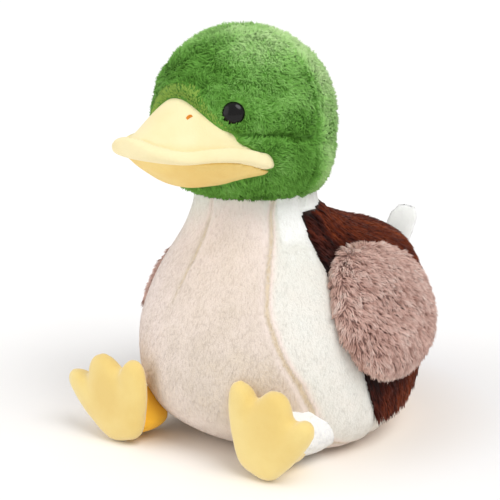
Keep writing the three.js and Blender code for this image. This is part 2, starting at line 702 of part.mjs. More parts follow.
function eyeBore(sign) {
  const stem = EYE_STEM_RADIUS + EYE_RIDGE + WASHER_BORE_GAP;
  const bore = new THREE.CylinderGeometry(stem, stem, 2 * OVERRUN, ROUND_SIDES).rotateX(Math.PI / 2);
  const bottom = EYE_STEM_LENGTH + EYE_SINK + WASHER_BORE_GAP;
  const rim = EYE_RADIUS + EYE_SEAT_GAP;
  const dimple = new THREE.CylinderGeometry(rim, rim, OVERRUN, ROUND_SIDES).rotateX(Math.PI / 2);
  return placeHead(setOn(bore, eyePlace(sign), OVERRUN - bottom)).add(
    placeHead(setOn(dimple, eyePlace(sign), OVERRUN / 2 - EYE_SINK)),
  );
}
function eyePocket(sign) {
  const radius = WASHER_RADIUS + WASHER_BORE_GAP;
  const pocket = new THREE.CylinderGeometry(radius, radius, OVERRUN, ROUND_SIDES);
  pocket.rotateX(Math.PI / 2);
  const floor = WASHER_LIFT - WASHER_DISH - WASHER_BORE_GAP;
  return placeHead(setOn(pocket, eyePlace(sign), floor + OVERRUN / 2));
}
function buildHead() {
  const bores = sides.map(({ sign }) => eyeBore(sign)).reduce((all, one) => all.add(one));
  const pockets = sides.map(({ sign }) => eyePocket(sign)).reduce((all, one) => all.add(one));
  const skin = headForm(0).subtract(headForm(SKIN)).subtract(neckSocket).subtract(bores);
  const front = skin.subtract(placeHead(boxBehind(-HEAD_FORWARD - SEAM_GAP)));
  addPiece("head_back_panel", skin.intersect(placeHead(boxBehind(-HEAD_FORWARD))), cloth(GREEN));
  addPiece("head_chin_panel", front.intersect(placeHead(boxBelow(CHEEK_SEAM_HEIGHT))), cloth(GREEN));
  const crown = front.subtract(placeHead(boxBelow(CHEEK_SEAM_HEIGHT + SEAM_GAP)));
  addPiece("head_crown_panel", crown, cloth(GREEN));
  const core = headForm(SKIN + FILL_GAP).subtract(neckSocket).subtract(bores).subtract(pockets);
  addPiece("head_filling", core, cloth(FIBRE));
  for (const { name, sign } of sides) {
    const eye = new THREE.LatheGeometry(eyeProfile(), ROUND_SIDES).rotateX(Math.PI / 2);
    addPiece(`eye_${name}`, placeHead(setOn(eye, eyePlace(sign), EYE_SEAT_GAP - EYE_SINK)), gloss);
    addPiece(`eye_washer_${name}`, placeHead(setOn(washer(), eyePlace(sign), WASHER_LIFT)), nylon);
  }
}

// Bill: an upper and a lower pad, whose sections run from inside the head to the tip
const billRow = (column, place) => columnAt(billShares, column, place);
const billReach = (place) => BILL_ROOT_REACH + billRow(0, place) * (BILL_REACH - BILL_ROOT_REACH);
function billEdge(place) {
  return {
    half: billRow(1, place) * BILL_HALF_WIDTH,
    lip: (billRow(4, place) * BILL_LIP) / 2,
    middle: BILL_LIP_HEIGHT + billRow(5, place) * BILL_TIP_LIFT,
  };
}
function upperBillPoint(place, angle) {
  const { half, lip, middle } = billEdge(place);
  const across = Math.cos(angle);
  const rise = Math.sin(angle);
  const ridge = rise > 0 ? billRow(2, place) * BILL_RIDGE * (1 - Math.abs(across) ** CROWN_SHARE) : 0;
  const roll = Math.sign(rise) * Math.sqrt(Math.abs(rise)) * lip;
  return new THREE.Vector3(across * half, -billReach(place), middle + roll + ridge);
}
function lowerBillPoint(place, angle) {
  const { half, lip, middle } = billEdge(place);
  const across = Math.cos(angle);
  const rise = Math.sin(angle);
  const depth = lip + billRow(3, place) * BILL_CHIN * (1 - Math.abs(across) ** CROWN_SHARE);
  const drop = rise < 0 ? depth * Math.sqrt(-rise) : 0;
  const reach = billReach(place) * MOUTH_SHARE;
  return new THREE.Vector3(across * half * MOUTH_SHARE, -reach, middle - lip - SEAM_GAP - drop);
}
function stitch(sign, gap) {
  const turn = sign > 0 ? STITCH_TURN_SHARE : 1 / 2 - STITCH_TURN_SHARE;
  const place = skinAt(upperBillPoint, STITCH_REACH_SHARE * (billShares.length - 1), turn * Math.PI * 2);
  const bead = new THREE.SphereGeometry(1, ROUND_SIDES / 2, ROUND_SIDES / 4);
  bead.scale(STITCH_WIDTH / 2 + gap, STITCH_LENGTH / 2 + gap, STITCH_THICKNESS / 2 + gap);
  return placeHead(setOn(bead, { ...place, outward: place.outward.clone().negate() }, 0));
}
function buildBill() {
  const seat = headForm(-BILL_SEAT_GAP);
  const upperLoft = loftOf(upperBillPoint, billShares, BILL_SECTIONS, BILL_SIDES);
  const upper = placeHead(upperLoft.clone()).subtract(seat);
  const dimples = sides.map(({ sign }) => stitch(sign, WASHER_BORE_GAP)).reduce((all, one) => all.add(one));
  addPiece("bill_upper", upper.subtract(dimples), cloth(YELLOW));
  const lower = placeHead(loftOf(lowerBillPoint, billShares, BILL_SECTIONS, BILL_SIDES)).subtract(seat);
  addPiece("bill_lower", lower.subtract(placeHead(shrunk(upperLoft, -SEAM_GAP))), cloth(YELLOW));
  for (const { name, sign } of sides) {
    addPiece(`nostril_stitch_${name}`, stitch(sign, 0), cloth(ORANGE));
  }
}

buildTrunk();
buildTail();
sides.forEach(buildWing);
sides.forEach(buildLeg);
buildHead();
buildBill();

export default duck;
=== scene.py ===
# %% [markdown]
# # A plush duck, sewn and stuffed
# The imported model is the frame: every soft piece below is shaped over its nodes and rides on its bodies.
# Lengths are metres; the duck looks along -Y and sits on the floor at height 0.

import bmesh
import bpy
import numpy as np
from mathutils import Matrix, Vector, noise
from mathutils.kdtree import KDTree


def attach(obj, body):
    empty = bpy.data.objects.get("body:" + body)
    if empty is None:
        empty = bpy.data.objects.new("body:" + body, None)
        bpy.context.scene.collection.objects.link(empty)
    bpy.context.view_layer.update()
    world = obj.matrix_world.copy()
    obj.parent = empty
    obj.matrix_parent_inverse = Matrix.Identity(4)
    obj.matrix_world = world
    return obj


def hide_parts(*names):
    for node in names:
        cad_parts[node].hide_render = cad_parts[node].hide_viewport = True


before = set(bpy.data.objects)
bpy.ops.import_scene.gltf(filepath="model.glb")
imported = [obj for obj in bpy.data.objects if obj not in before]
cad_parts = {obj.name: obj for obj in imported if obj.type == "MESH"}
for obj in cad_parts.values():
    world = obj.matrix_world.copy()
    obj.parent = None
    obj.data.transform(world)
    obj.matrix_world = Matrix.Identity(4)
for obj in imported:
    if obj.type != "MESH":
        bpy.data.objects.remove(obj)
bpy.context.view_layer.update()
bpy.ops.object.select_all(action="DESELECT")

# %% [markdown]
# ## Camera, floor and light
# A product picture of a toy has a long lens, a pale floor and soft light. The duck is seen from its front
# left, a little from above. A camera could be turned by hand until the view fits. Here it is given its
# place and the point that it looks at, because two points are easier to correct than three angles.

# %% Camera
LENS, SENSOR = 82.34, 36
CAMERA_AT = Vector((0.50048, -0.67789, 0.34633))
CAMERA_AIM = Vector((-0.0235, -0.0308, 0.131))
camera_data = bpy.data.cameras.new("camera")
camera = bpy.data.objects.new("camera", camera_data)
bpy.context.scene.collection.objects.link(camera)
camera_data.lens = LENS
camera_data.sensor_width = SENSOR
camera_data.clip_end = 60
camera.location = CAMERA_AT
aim = CAMERA_AIM - camera.location
camera.rotation_euler = aim.to_track_quat("-Z", "Y").to_euler()
bpy.context.scene.camera = camera
bpy.context.scene.view_settings.view_transform = "Standard"
print("camera is", round(aim.length, 3), "m from the middle of the duck")

# %% [markdown]
# ## Colours and a finish to start from
# Colours are easiest to choose as a screen shows them, but a shader counts in light, so rgb() turns the one
# into the other. A colour ramp with named stops takes the place of a picture: it needs no file and no
# unwrapping.


# %% Colours and ramps
def rgb(r, g, b):
    return tuple(c / 12.92 if c <= 0.04045 else ((c + 0.055) / 1.055) ** 2.4 for c in (r, g, b))


def ramp(tree, stops):
    node = tree.nodes.new("ShaderNodeValToRGB")
    entries = node.color_ramp.elements
    while len(entries) < len(stops):
        entries.new(0.5)
    for entry, (place, colour) in zip(entries, stops):
        entry.position = place
        entry.color = (*colour, 1)
    return node


def noise_of(tree, place, scale, detail=2):
    grain = tree.nodes.new("ShaderNodeTexNoise")
    grain.inputs["Scale"].default_value = scale
    grain.inputs["Detail"].default_value = detail
    tree.links.new(place.outputs["Object"], grain.inputs["Vector"])
    return grain


# %% A plain finish
def new_finish(name, rough=0.9, sheen=0.0, specular=0.2):
    finish = bpy.data.materials.new(name)
    finish.use_nodes = True
    shader = finish.node_tree.nodes["Principled BSDF"]
    shader.inputs["Roughness"].default_value = rough
    shader.inputs["Sheen Weight"].default_value = sheen
    shader.inputs["Sheen Roughness"].default_value = 0.5
    shader.inputs["Sheen Tint"].default_value = (1, 1, 1, 1)
    shader.inputs["Specular IOR Level"].default_value = specular
    return finish, finish.node_tree, shader


# %% [markdown]
# ## Floor
# The floor is plain and pale, and it is painted a little warmer close to the toy: painted reflected light,
# where cream plush throws its colour down. The tone follows the distance from the middle of the floor, so it
# stays put when the view changes.

# %% Floor
FLOOR_SIZE = 40
# painted reflected light: the floor's tone is warmer close to the toy and pale further off
BOUNCE_UNTIL, PALE_FROM = 0.08, 0.16
PAINTED_BOUNCE_TONE, PALE_TONE = (0.97, 0.9, 0.82), (0.97, 0.96, 0.955)
bpy.ops.mesh.primitive_plane_add(size=FLOOR_SIZE, location=(0, 0, 0))
floor = bpy.context.object
floor.name = "floor"
floor_finish, floor_tree, floor_shader = new_finish("floor", specular=0.0)
floor_place = floor_tree.nodes.new("ShaderNodeTexCoord")
floor_off = floor_tree.nodes.new("ShaderNodeVectorMath")
floor_off.operation = "LENGTH"
floor_tree.links.new(floor_place.outputs["Object"], floor_off.inputs[0])
floor_tone = ramp(floor_tree, [(BOUNCE_UNTIL, PAINTED_BOUNCE_TONE), (PALE_FROM, PALE_TONE)])
floor_tree.links.new(floor_off.outputs["Value"], floor_tone.inputs[0])
floor_tree.links.new(floor_tone.outputs[0], floor_shader.inputs["Base Color"])
floor.data.materials.append(floor_finish)
floor.select_set(False)
print("floor", FLOOR_SIZE, "m wide")

# %% [markdown]
# ## Light
# A soft box could be an area lamp, but its light falls off over the toy. Two suns with a wide angle give
# the same soft shadow everywhere: one from above, one from the front. The world fills the rest, and the
# camera alone sees it as full white, so a white background costs the toy no extra light.

# %% Bright surroundings
SKY_STRENGTH = 0.64
world = bpy.data.worlds.new("studio")
bpy.context.scene.world = world
world.use_nodes = True
air = world.node_tree
fill_light = air.nodes["Background"]
fill_light.inputs["Color"].default_value = (1, 1, 1, 1)
fill_light.inputs["Strength"].default_value = SKY_STRENGTH
seen_white = air.nodes.new("ShaderNodeBackground")
seen_white.inputs["Color"].default_value = (1, 1, 1, 1)
ray = air.nodes.new("ShaderNodeLightPath")
choose = air.nodes.new("ShaderNodeMixShader")
air.links.new(ray.outputs["Is Camera Ray"], choose.inputs[0])
air.links.new(fill_light.outputs[0], choose.inputs[1])
air.links.new(seen_white.outputs[0], choose.inputs[2])
air.links.new(choose.outputs[0], air.nodes["World Output"].inputs["Surface"])


# %% Two soft suns
# strength, angle in degrees, where the light comes from
SUNS = {"key": (1.45, 36, (0.8, -0.1, 1.2)), "fill": (0.81, 60, (-0.6, -0.85, 0.35))}


def soft_sun(name, energy, spread, direction):
    data = bpy.data.lights.new(name, "SUN")
    data.energy = energy
    data.angle = np.radians(spread)
    lamp = bpy.data.objects.new(name, data)
    lamp.rotation_euler = (-Vector(direction)).to_track_quat("-Z", "Y").to_euler()
    bpy.context.scene.collection.objects.link(lamp)


for sun, (energy, spread, direction) in SUNS.items():
    soft_sun(sun, energy, spread, direction)
print("suns:", ", ".join(SUNS))

# %% [markdown]
# ## Forms as rows of numbers
# A stuffed form has no edges, so it is written as level sections from bottom to top: each row gives the
# share of the full width and reach at one height. A smooth curve runs through the rows, as a fair line runs
# through the stations of a boat's plan. Sculpting by hand could give the same form, but not the same one
# twice.

# %% Small helpers
MM = 0.001
SIDES = ("left", "right")


# 1 at no distance, and close to 0 from two widths on
def near(distance, width):
    return np.exp(-(distance / width) ** 2)


def unit(vectors):
    return vectors / np.maximum(np.linalg.norm(vectors, axis=-1, keepdims=True), 1e-9)


# %% A smooth curve through a column
def through(column, place):
    column = np.asarray(column, float)
    last = len(column) - 1
    step = np.clip(np.floor(place).astype(int), 0, last - 1)
    t = place - step
    a, b, c, d = (column[np.clip(step + shift, 0, last)] for shift in (-1, 0, 1, 2))
    return b + t / 2 * (c - a + t * (2 * a - 5 * b + 4 * c - d + t * (3 * b - a - 3 * c + d)))


# %% [markdown]
# ## The trunk's sections
# The trunk is a pear: a narrow neck, a wide low belly, and a rump that bulges further back than the belly
# does forward. Behind, the sections are a little square, because a back panel is sewn between two straight
# seams.

# %% The trunk's sections
# height, half width, belly, rump, squareness behind
TRUNK = np.array([
    [0, .58, .44, .44, 1], [.02, .74, .58, .52, 1], [.08, .875, .785, .62, 1], [.17, .955, .93, .73, 1],
    [.3, .975, .99, .835, 1], [.45, .965, .945, .95, .96], [.58, .885, .85, 1, .9], [.69, .78, .75, .99, .84],
    [.78, .67, .65, .83, .84], [.86, .57, .56, .55, .9], [.93, .505, .505, .34, .95],
    [1, .455, .465, .274, 1], [1.08, .455, .465, .274, 1],
])
HALF_WIDTH, BELLY, RUMP, NECK_SEAM = 101 * MM, 99 * MM, 168 * MM, 173 * MM
NECK = np.array([-20 * MM, -28 * MM])


def trunk_point(place, angle):
    height = through(TRUNK[:, 0], place)
    front = np.cos(angle) > 0
    half = through(TRUNK[:, 1], place) * HALF_WIDTH
    reach = np.where(front, through(TRUNK[:, 2], place) * BELLY, through(TRUNK[:, 3], place) * RUMP)
    fullness = np.where(front, 1, through(TRUNK[:, 4], place))
    across = np.sign(np.sin(angle)) * np.abs(np.sin(angle)) ** (1 / fullness) * half
    x = NECK[0] * np.minimum(height, 1) + across
    return np.stack([x, NECK[1] - np.cos(angle) * reach, height * NECK_SEAM], -1)


# %% [markdown]
# ## The head's sections
# The head is a ball that is fuller at the cheeks, set forward of the neck and turned a little to its right.
# It is shaped straight ahead first, and place_head() then turns it and sets it on the neck.

# %% The head's sections
# height, half width, front, back, forward
HEAD = np.array([
    [.04, .56, .58, .54, 0], [.05, .65, .66, .62, .1], [.085, .76, .77, .72, .3], [.15, .865, .88, .775, .5],
    [.26, .955, .965, .87, .8], [.4, .985, 1, .93, 1], [.55, .97, .98, .94, 1], [.7, .89, .9, .87, 1],
    [.83, .73, .735, .71, 1], [.93, .5, .5, .46, 1], [.985, .25, .25, .24, 1], [1, .06, .06, .06, 1],
])
HEAD_FORWARD = 12 * MM
HEAD_TURN = np.radians(-8)
# in millimetres
HEAD_HALF, HEAD_FRONT, HEAD_BACK, HEAD_HEIGHT = 67.3, 65.8, 66.8, 124


def place_head(points):
    c, s = np.cos(HEAD_TURN), np.sin(HEAD_TURN)
    x, y, z = points[..., 0], points[..., 1], points[..., 2]
    return np.stack([c * x - s * y + NECK[0], s * x + c * y + NECK[1], z + NECK_SEAM], -1)


def in_head(points):
    c, s = np.cos(HEAD_TURN), np.sin(HEAD_TURN)
    x, y, z = points[..., 0] - NECK[0], points[..., 1] - NECK[1], points[..., 2] - NECK_SEAM
    return np.stack([c * x + s * y, c * y - s * x, z], -1)


def head_point(place, angle):
    front = np.cos(angle) > 0
    half = through(HEAD[:, 1], place) * HEAD_HALF * MM
    forward = through(HEAD[:, 2], place) * HEAD_FRONT * MM
    backward = through(HEAD[:, 3], place) * HEAD_BACK * MM
    reach = np.where(front, forward, backward)
    y = -np.cos(angle) * reach - through(HEAD[:, 4], place) * HEAD_FORWARD
    return place_head(np.stack([np.sin(angle) * half, y, through(HEAD[:, 0], place) * HEAD_HEIGHT * MM], -1))


# %% [markdown]
# ## The bill's sections
# A bill is a flat pad with a thick rolled lip. Its sections stand upright, from the root in the face to the
# tip. The upper half rises to a ridge and the lower one sags to a chin, and both share one edge, so they
# stay a pair.

# %% The bill's sections
# reach, half width, ridge, chin, lip, lift
BILL = np.array([
    [0, .86, 1.12, .36, 1.25, -.15], [.2, 1.005, 1.08, .72, 1.3, .1], [.4, .96, .92, 1.02, 1.1, .65],
    [.58, .83, .72, 1.06, .88, .74], [.74, .67, .42, .56, .85, .64], [.86, .5, .13, .18, 1.08, .9],
    [.935, .36, .03, .02, 1.3, 1.2], [.965, .24, .01, 0, 1.18, 1.35], [.975, .1, 0, 0, .7, 1.35],
])
ROOT_REACH, BILL_REACH = 24 * MM, 121 * MM
# in millimetres
BILL_HALF, LIP_HEIGHT, EDGE_HEIGHT, EDGE_LIFT, RIDGE_RISE, CHIN_DROP = 60, 4.5, 35, 10, 40, 19
# how steep the ridge's two slopes are, how round the chin is, and the lower bill's size beside the upper one
LEFT_SLOPE, RIGHT_SLOPE, CHIN_ROUND, MOUTH_SHARE = 1.65, 2.05, 2.8, 0.955


def bill_edge(place):
    half = through(BILL[:, 1], place) * BILL_HALF * MM
    lip = through(BILL[:, 4], place) * LIP_HEIGHT * MM
    middle = EDGE_HEIGHT * MM + through(BILL[:, 5], place) * EDGE_LIFT * MM
    reach = ROOT_REACH + through(BILL[:, 0], place) * (BILL_REACH - ROOT_REACH)
    return half, lip, middle, reach


def upper_bill_point(place, angle):
    half, lip, middle, reach = bill_edge(place)
    across, rise = np.cos(angle), np.sin(angle)
    crown = np.maximum(1 - across ** 2, 0) ** np.where(across > 0, LEFT_SLOPE, RIGHT_SLOPE)
    ridge = np.where(rise > 0, through(BILL[:, 2], place) * RIDGE_RISE * MM * crown, 0)
    # the rolled rim stands up, with a dip behind it
    rim = 2.4 * near(np.abs(across) - 0.92, 0.06) - 2.2 * near(np.abs(across) - 0.8, 0.06)
    rim = np.where(rise > 0, rim * np.clip(half / (36 * MM) - 0.5, 0, 1), 0)
    roll = np.sign(rise) * np.sqrt(np.abs(rise)) * lip
    return place_head(np.stack([across * half, -reach, middle + roll + ridge + rim * MM], -1))


def lower_bill_point(place, angle):
    half, lip, middle, reach = bill_edge(place)
    across, rise = np.cos(angle), np.sin(angle)
    crown = np.maximum(1 - np.abs(across) ** CHIN_ROUND, 0)
    depth = lip * 0.5 + through(BILL[:, 3], place) * CHIN_DROP * MM * crown
    drop = np.where(rise < 0, depth * np.sqrt(np.maximum(-rise, 0)), 0)
    z = middle - lip * 0.72 - drop
    return place_head(np.stack([across * half * MOUTH_SHARE, -reach * MOUTH_SHARE, z], -1))


# %% [markdown]
# ## From sections to a skin
# A loft could be bridged ring by ring in edit mode. The rings are computed here, so the faces between them
# are listed in one go, and a fan of triangles closes each end. Points run the same way round in every face,
# which is what makes all faces look outward.


# %% Sections made a closed skin
def lofted(name, point, rows, rings, sides):
    places = np.linspace(0, len(rows) - 1, rings)
    angles = np.arange(sides) * 2 * np.pi / sides
    grid = point(*np.meshgrid(places, angles, indexing="ij"))
    points = np.concatenate([grid.reshape(-1, 3), grid[:1].mean(1), grid[-1:].mean(1)])
    ring = np.arange(rings * sides).reshape(rings, sides)
    after = np.roll(ring, -1, 1)
    quads = np.stack([ring[:-1], after[:-1], after[1:], ring[1:]], -1).reshape(-1, 4).tolist()
    ends = [(after[0, k], ring[0, k], len(points) - 2) for k in range(sides)]
    ends += [(ring[-1, k], after[-1, k], len(points) - 1) for k in range(sides)]
    return solid(name, points, quads + [tuple(int(i) for i in face) for face in ends])


def solid(name, points, faces):
    mesh = bpy.data.meshes.new(name)
    mesh.from_pydata([tuple(p) for p in points], [], faces)
    piece = bpy.data.objects.new(name, mesh)
    bpy.context.scene.collection.objects.link(piece)
    print(name, "made of", len(points), "points and", len(faces), "faces")
    return piece


# %% Points of a mesh, read and written
def points_of(piece):
    flat = np.empty(len(piece.data.vertices) * 3, np.float32)
    piece.data.vertices.foreach_get("co", flat)
    return flat.reshape(-1, 3).astype(float)


def normals_of(piece):
    flat = np.empty(len(piece.data.vertices) * 3, np.float32)
    piece.data.vertex_normals.foreach_get("vector", flat)
    return flat.reshape(-1, 3).astype(float)


def move_points(piece, points):
    piece.data.vertices.foreach_set("co", np.asarray(points, np.float32).ravel())
    piece.data.update()


# %% [markdown]
# ## Fabric and stuffing
# A voxel remesh gives each form an even net of faces, as fabric has an even weave. Cloth with a little
# pressure inside then fills it like stuffing, while its seams are held, so that the panels swell between
# them. The swelling is capped, because a stuffed toy is full but not tight, and the shape is kept as plain
# mesh.


# %% Modifiers, applied at once
def chosen(piece):
    bpy.ops.object.select_all(action="DESELECT")
    piece.select_set(True)
    bpy.context.view_layer.objects.active = piece


def apply_modifier(piece, kind, **settings):
    chosen(piece)
    modifier = piece.modifiers.new(kind.lower(), kind)
    for key, value in settings.items():
        setattr(modifier, key, value)
    bpy.ops.object.modifier_apply(modifier=modifier.name)
    piece.select_set(False)


# %% A copy of CAD nodes to shape further
def without_tags(piece):
    piece.parent = None
    for key in list(piece.keys()):
        del piece[key]


def joined_copy(name, *names):
    bpy.ops.object.select_all(action="DESELECT")
    copies = []
    for source in names:
        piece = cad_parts[source].copy()
        piece.data = piece.data.copy()
        without_tags(piece)
        bpy.context.scene.collection.objects.link(piece)
        piece.select_set(True)
        copies.append(piece)
    bpy.context.view_layer.objects.active = copies[0]
    if len(copies) > 1:
        bpy.ops.object.join()
    copies[0].name = copies[0].data.name = name
    copies[0].data.materials.clear()
    copies[0].select_set(False)
    return copies[0]


# %% Stuffing
PRESSURE, FABRIC_STIFFNESS, STEPS = 4.0, 25, 20


# held() says how firmly each point is sewn down, and cap is the furthest that a point may swell
def stuffed(piece, voxel, held, cap):
    apply_modifier(piece, "REMESH", mode="VOXEL", voxel_size=voxel)
    apply_modifier(piece, "SMOOTH", factor=0.5, iterations=3)
    rest = points_of(piece)
    sewn = piece.vertex_groups.new(name="sewn")
    for index, weight in enumerate(held(rest)):
        if weight > 0.01:
            sewn.add([index], float(weight), "REPLACE")
    cloth = piece.modifiers.new("stuffing", "CLOTH")
    fabric = cloth.settings
    fabric.vertex_group_mass = "sewn"
    fabric.use_pressure = True
    fabric.uniform_pressure_force = PRESSURE
    fabric.effector_weights.gravity = 0
    fabric.tension_stiffness = fabric.compression_stiffness = FABRIC_STIFFNESS
    for step in range(1, STEPS + 1):
        bpy.context.scene.frame_set(step)
    shape = piece.evaluated_get(bpy.context.evaluated_depsgraph_get())
    flat = np.empty(len(rest) * 3, np.float32)
    shape.data.vertices.foreach_get("co", flat)
    piece.modifiers.remove(cloth)
    piece.vertex_groups.clear()
    moved = flat.reshape(-1, 3) - rest
    reach = np.linalg.norm(moved, axis=1, keepdims=True)
    move_points(piece, rest + moved * np.minimum(1, cap / np.maximum(reach, 1e-9)))
    bpy.context.scene.frame_set(1)
    print(piece.name, "stuffed, moved", round(float(reach.max()) * 1000, 2), "mm at most")
    return piece


def held_a_little(share):
    return lambda points: np.full(len(points), share)


# %% Rounding, seams and ripples
def rounded(piece):
    apply_modifier(piece, "SUBSURF", levels=1, render_levels=1)
    piece.data.polygons.foreach_set("use_smooth", np.ones(len(piece.data.polygons), bool))
    piece.data.update()
    return piece


def groove(piece, distance, depth, width, where=None):
    points = points_of(piece)
    press = near(distance(points), width) * depth
    if where is not None:
        press = press * where(points)
    move_points(piece, points - normals_of(piece) * press[:, None])


def wave(points, size, seed):
    shift = Vector((seed * 7.3, seed * 3.1, seed * 5.7))
    return np.array([noise.noise(Vector(p) / size + shift) for p in points])


# %% How far points lie from a piece, less than nothing inside it
def gap_to(points, piece):
    near_points, near_normals = points_of(piece), normals_of(piece)
    tree = KDTree(len(near_points))
    for k, point in enumerate(near_points):
        tree.insert(point, k)
    tree.balance()
    found = np.array([tree.find(p)[1] for p in points])
    off = points - near_points[found]
    side = np.where((off * near_normals[found]).sum(1) < 0, -1, 1)
    return np.linalg.norm(off, axis=1) * side, near_normals[found]


# %% [markdown]
# ## The trunk
# One soft body, white in front and brown behind. The panels were sewn inside out, so every seam draws in.
# Two seams run down the breast and one pair runs from the neck down each side, where white meets brown.
# Cutting the panels apart and sewing them with cloth would be truer, but pressing lines into one skin
# leaves no gaps.

# %% Where the trunk's seams lie
BREAST_ASIDE = 16 * MM
# the right breast seam is shallower and fades out downwards
RIGHT_SEAM_DEPTH, RIGHT_SEAM_FROM, RIGHT_SEAM_FADE = 0.6, 95 * MM, 35 * MM


def back_line(z):
    heights = np.array([-.1, .1, .26, .41, .6, .77, .89, .97, 1.1]) * NECK_SEAM
    behind = np.array([.08, .01, -.05, -.1, -.105, -.065, -.045, -.03, 0]) * RUMP
    return NECK[1] + np.interp(z, heights, behind)


def breast_line(z):
    heights = np.array([-.1, .26, .36, .48, .62, .8, .97, 1.1]) * NECK_SEAM
    return np.interp(z, heights, np.array([.6, .62, .58, .48, .36, .27, .2, .2]) * HALF_WIDTH)


def from_back_seam(points):
    return np.abs(points[:, 1] - back_line(points[:, 2]))


def breast_middle(points):
    return NECK[0] * np.minimum(points[:, 2] / NECK_SEAM, 1) + BREAST_ASIDE


def from_breast_seams(points):
    off = np.abs(np.abs(points[:, 0] - breast_middle(points)) - breast_line(points[:, 2]))
    return off + np.where(points[:, 1] < NECK[1], 0, 1)


def seam_shows(points):
    faded = RIGHT_SEAM_DEPTH * np.clip((points[:, 2] - RIGHT_SEAM_FROM) / RIGHT_SEAM_FADE, 0, 1)
    return np.where(points[:, 0] > NECK[0], 1, faded)


def trunk_held(points):
    sewn = np.maximum(near(from_back_seam(points), 5 * MM), near(from_breast_seams(points), 5 * MM))
    return np.maximum(sewn, (points[:, 2] < 5 * MM) | (points[:, 2] > 165 * MM))


# %% White body
BODY_RINGS, BODY_SIDES = 60, 96
BODY_VOXEL, BODY_SWELL = 5 * MM, 2.5 * MM
# how deep and how wide
BREAST_GROOVE, BACK_GROOVE = (1.5 * MM, 1.9 * MM), (2.0 * MM, 4 * MM)
body = lofted("white_body", trunk_point, TRUNK, BODY_RINGS, BODY_SIDES)
stuffed(body, BODY_VOXEL, trunk_held, BODY_SWELL)
rounded(body)
groove(body, from_breast_seams, *BREAST_GROOVE, seam_shows)
groove(body, from_back_seam, *BACK_GROOVE)

# %% Soft ripples, and the hollow of the nape
SEAT_HEIGHT, RIPPLE_SIZE, RIPPLE_HEIGHT = 0.2 * MM, 0.05, 0.8
NAPE_HEIGHT, NAPE_WIDTH, NAPE_DEPTH = 140 * MM, 26 * MM, 5
points = points_of(body)
points[:, 2] = np.maximum(points[:, 2], SEAT_HEIGHT)
ripple = wave(points, RIPPLE_SIZE, 1) * RIPPLE_HEIGHT * MM * (points[:, 2] > 4 * MM)
behind = np.clip((points[:, 1] - back_line(points[:, 2])) / (30 * MM), 0, 1)
nape = near(points[:, 2] - NAPE_HEIGHT, NAPE_WIDTH) * behind
points = points + normals_of(body) * (ripple - nape * NAPE_DEPTH * MM)[:, None]
move_points(body, points)
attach(body, "trunk")
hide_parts("trunk_filling", "base_panel", "breast_panel", "flank_panel_left", "flank_panel_right")
print("white body reaches", round(float(points[:, 2].max()), 3), "m up")

# %% [markdown]
# ## Brown back
# The brown plush is a panel of its own, so it is a piece of its own: the faces behind the seam and below
# the collar are copied from the body, lifted a little and given a thickness. It fits the body without a gap
# that way.

# %% Where the white collar ends
COLLAR = 168 * MM


def below_collar(points):
    return COLLAR - points[:, 2]


# %% Brown back
BROWN_LOW, BACK_LIFT, BACK_THICKNESS = 28 * MM, 0.9 * MM, 3 * MM


def behind_seam(piece):
    mesh = piece.data
    flat = np.empty(len(mesh.polygons) * 3, np.float32)
    mesh.polygons.foreach_get("center", flat)
    centres = flat.reshape(-1, 3)
    within = (below_collar(centres) > 0) & (centres[:, 2] > BROWN_LOW)
    return (centres[:, 1] > back_line(centres[:, 2])) & within


chosen(body)
bpy.ops.object.duplicate()
back = bpy.context.object
back.name = back.data.name = "brown_back"
without_tags(back)
lost = set(np.flatnonzero(~behind_seam(back)).tolist())
shell = bmesh.new()
shell.from_mesh(back.data)
shell.faces.ensure_lookup_table()
bmesh.ops.delete(shell, geom=[shell.faces[i] for i in lost], context="FACES")
shell.to_mesh(back.data)
shell.free()
move_points(back, points_of(back) + normals_of(back) * BACK_LIFT)
apply_modifier(back, "SOLIDIFY", thickness=BACK_THICKNESS, offset=-1)
print("brown back has", len(back.data.polygons), "faces")
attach(back, "trunk")
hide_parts("back_panel")

# %% [markdown]
# ## Head and neck
# The head is a stuffed ball of three panels, a crown, a chin and a back. The neck plug inside its opening
# lets it turn on the trunk. It is made as the trunk is, with its two seams held while the panels swell.

# %% Where the head's seams lie
HEAD_SEAM, CHEEK_SEAM, CHEEK_RISE = -4 * MM, 51.5 * MM, 4.5 * MM


def from_head_back_seam(points):
    local = in_head(points)
    return np.abs(local[:, 1] - HEAD_SEAM) + np.where(local[:, 2] > 4 * MM, 0, 1)


def from_cheek_seam(points):
    local = in_head(points)
    rise = CHEEK_RISE * np.clip((HEAD_SEAM - local[:, 1]) / (45 * MM), 0, 1)
    return np.abs(local[:, 2] - CHEEK_SEAM - rise) + np.where(local[:, 1] < HEAD_SEAM, 0, 1)


def head_held(points):
    sewn = np.maximum(near(from_head_back_seam(points), 5 * MM), near(from_cheek_seam(points), 5 * MM))
    return np.maximum(sewn, points[:, 2] < NECK_SEAM + 5 * MM)


# %% Head
HEAD_RINGS, HEAD_SIDES = 48, 80
HEAD_VOXEL, HEAD_SWELL = 5 * MM, 2 * MM
# how deep and how wide
HEAD_BACK_GROOVE, CHEEK_GROOVE = (3.2 * MM, 1.8 * MM), (2.6 * MM, 2.0 * MM)
head = lofted("soft_head", head_point, HEAD, HEAD_RINGS, HEAD_SIDES)
stuffed(head, HEAD_VOXEL, head_held, HEAD_SWELL)
rounded(head)
groove(head, from_head_back_seam, *HEAD_BACK_GROOVE)
groove(head, from_cheek_seam, *CHEEK_GROOVE)
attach(head, "head")
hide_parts("head_filling", "head_crown_panel", "head_chin_panel", "head_back_panel")

# %% Neck plug
neck = joined_copy("neck_plug", "neck_filling")
apply_modifier(neck, "REMESH", mode="VOXEL", voxel_size=4 * MM)
rounded(neck)
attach(neck, "neck")
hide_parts("neck_filling")

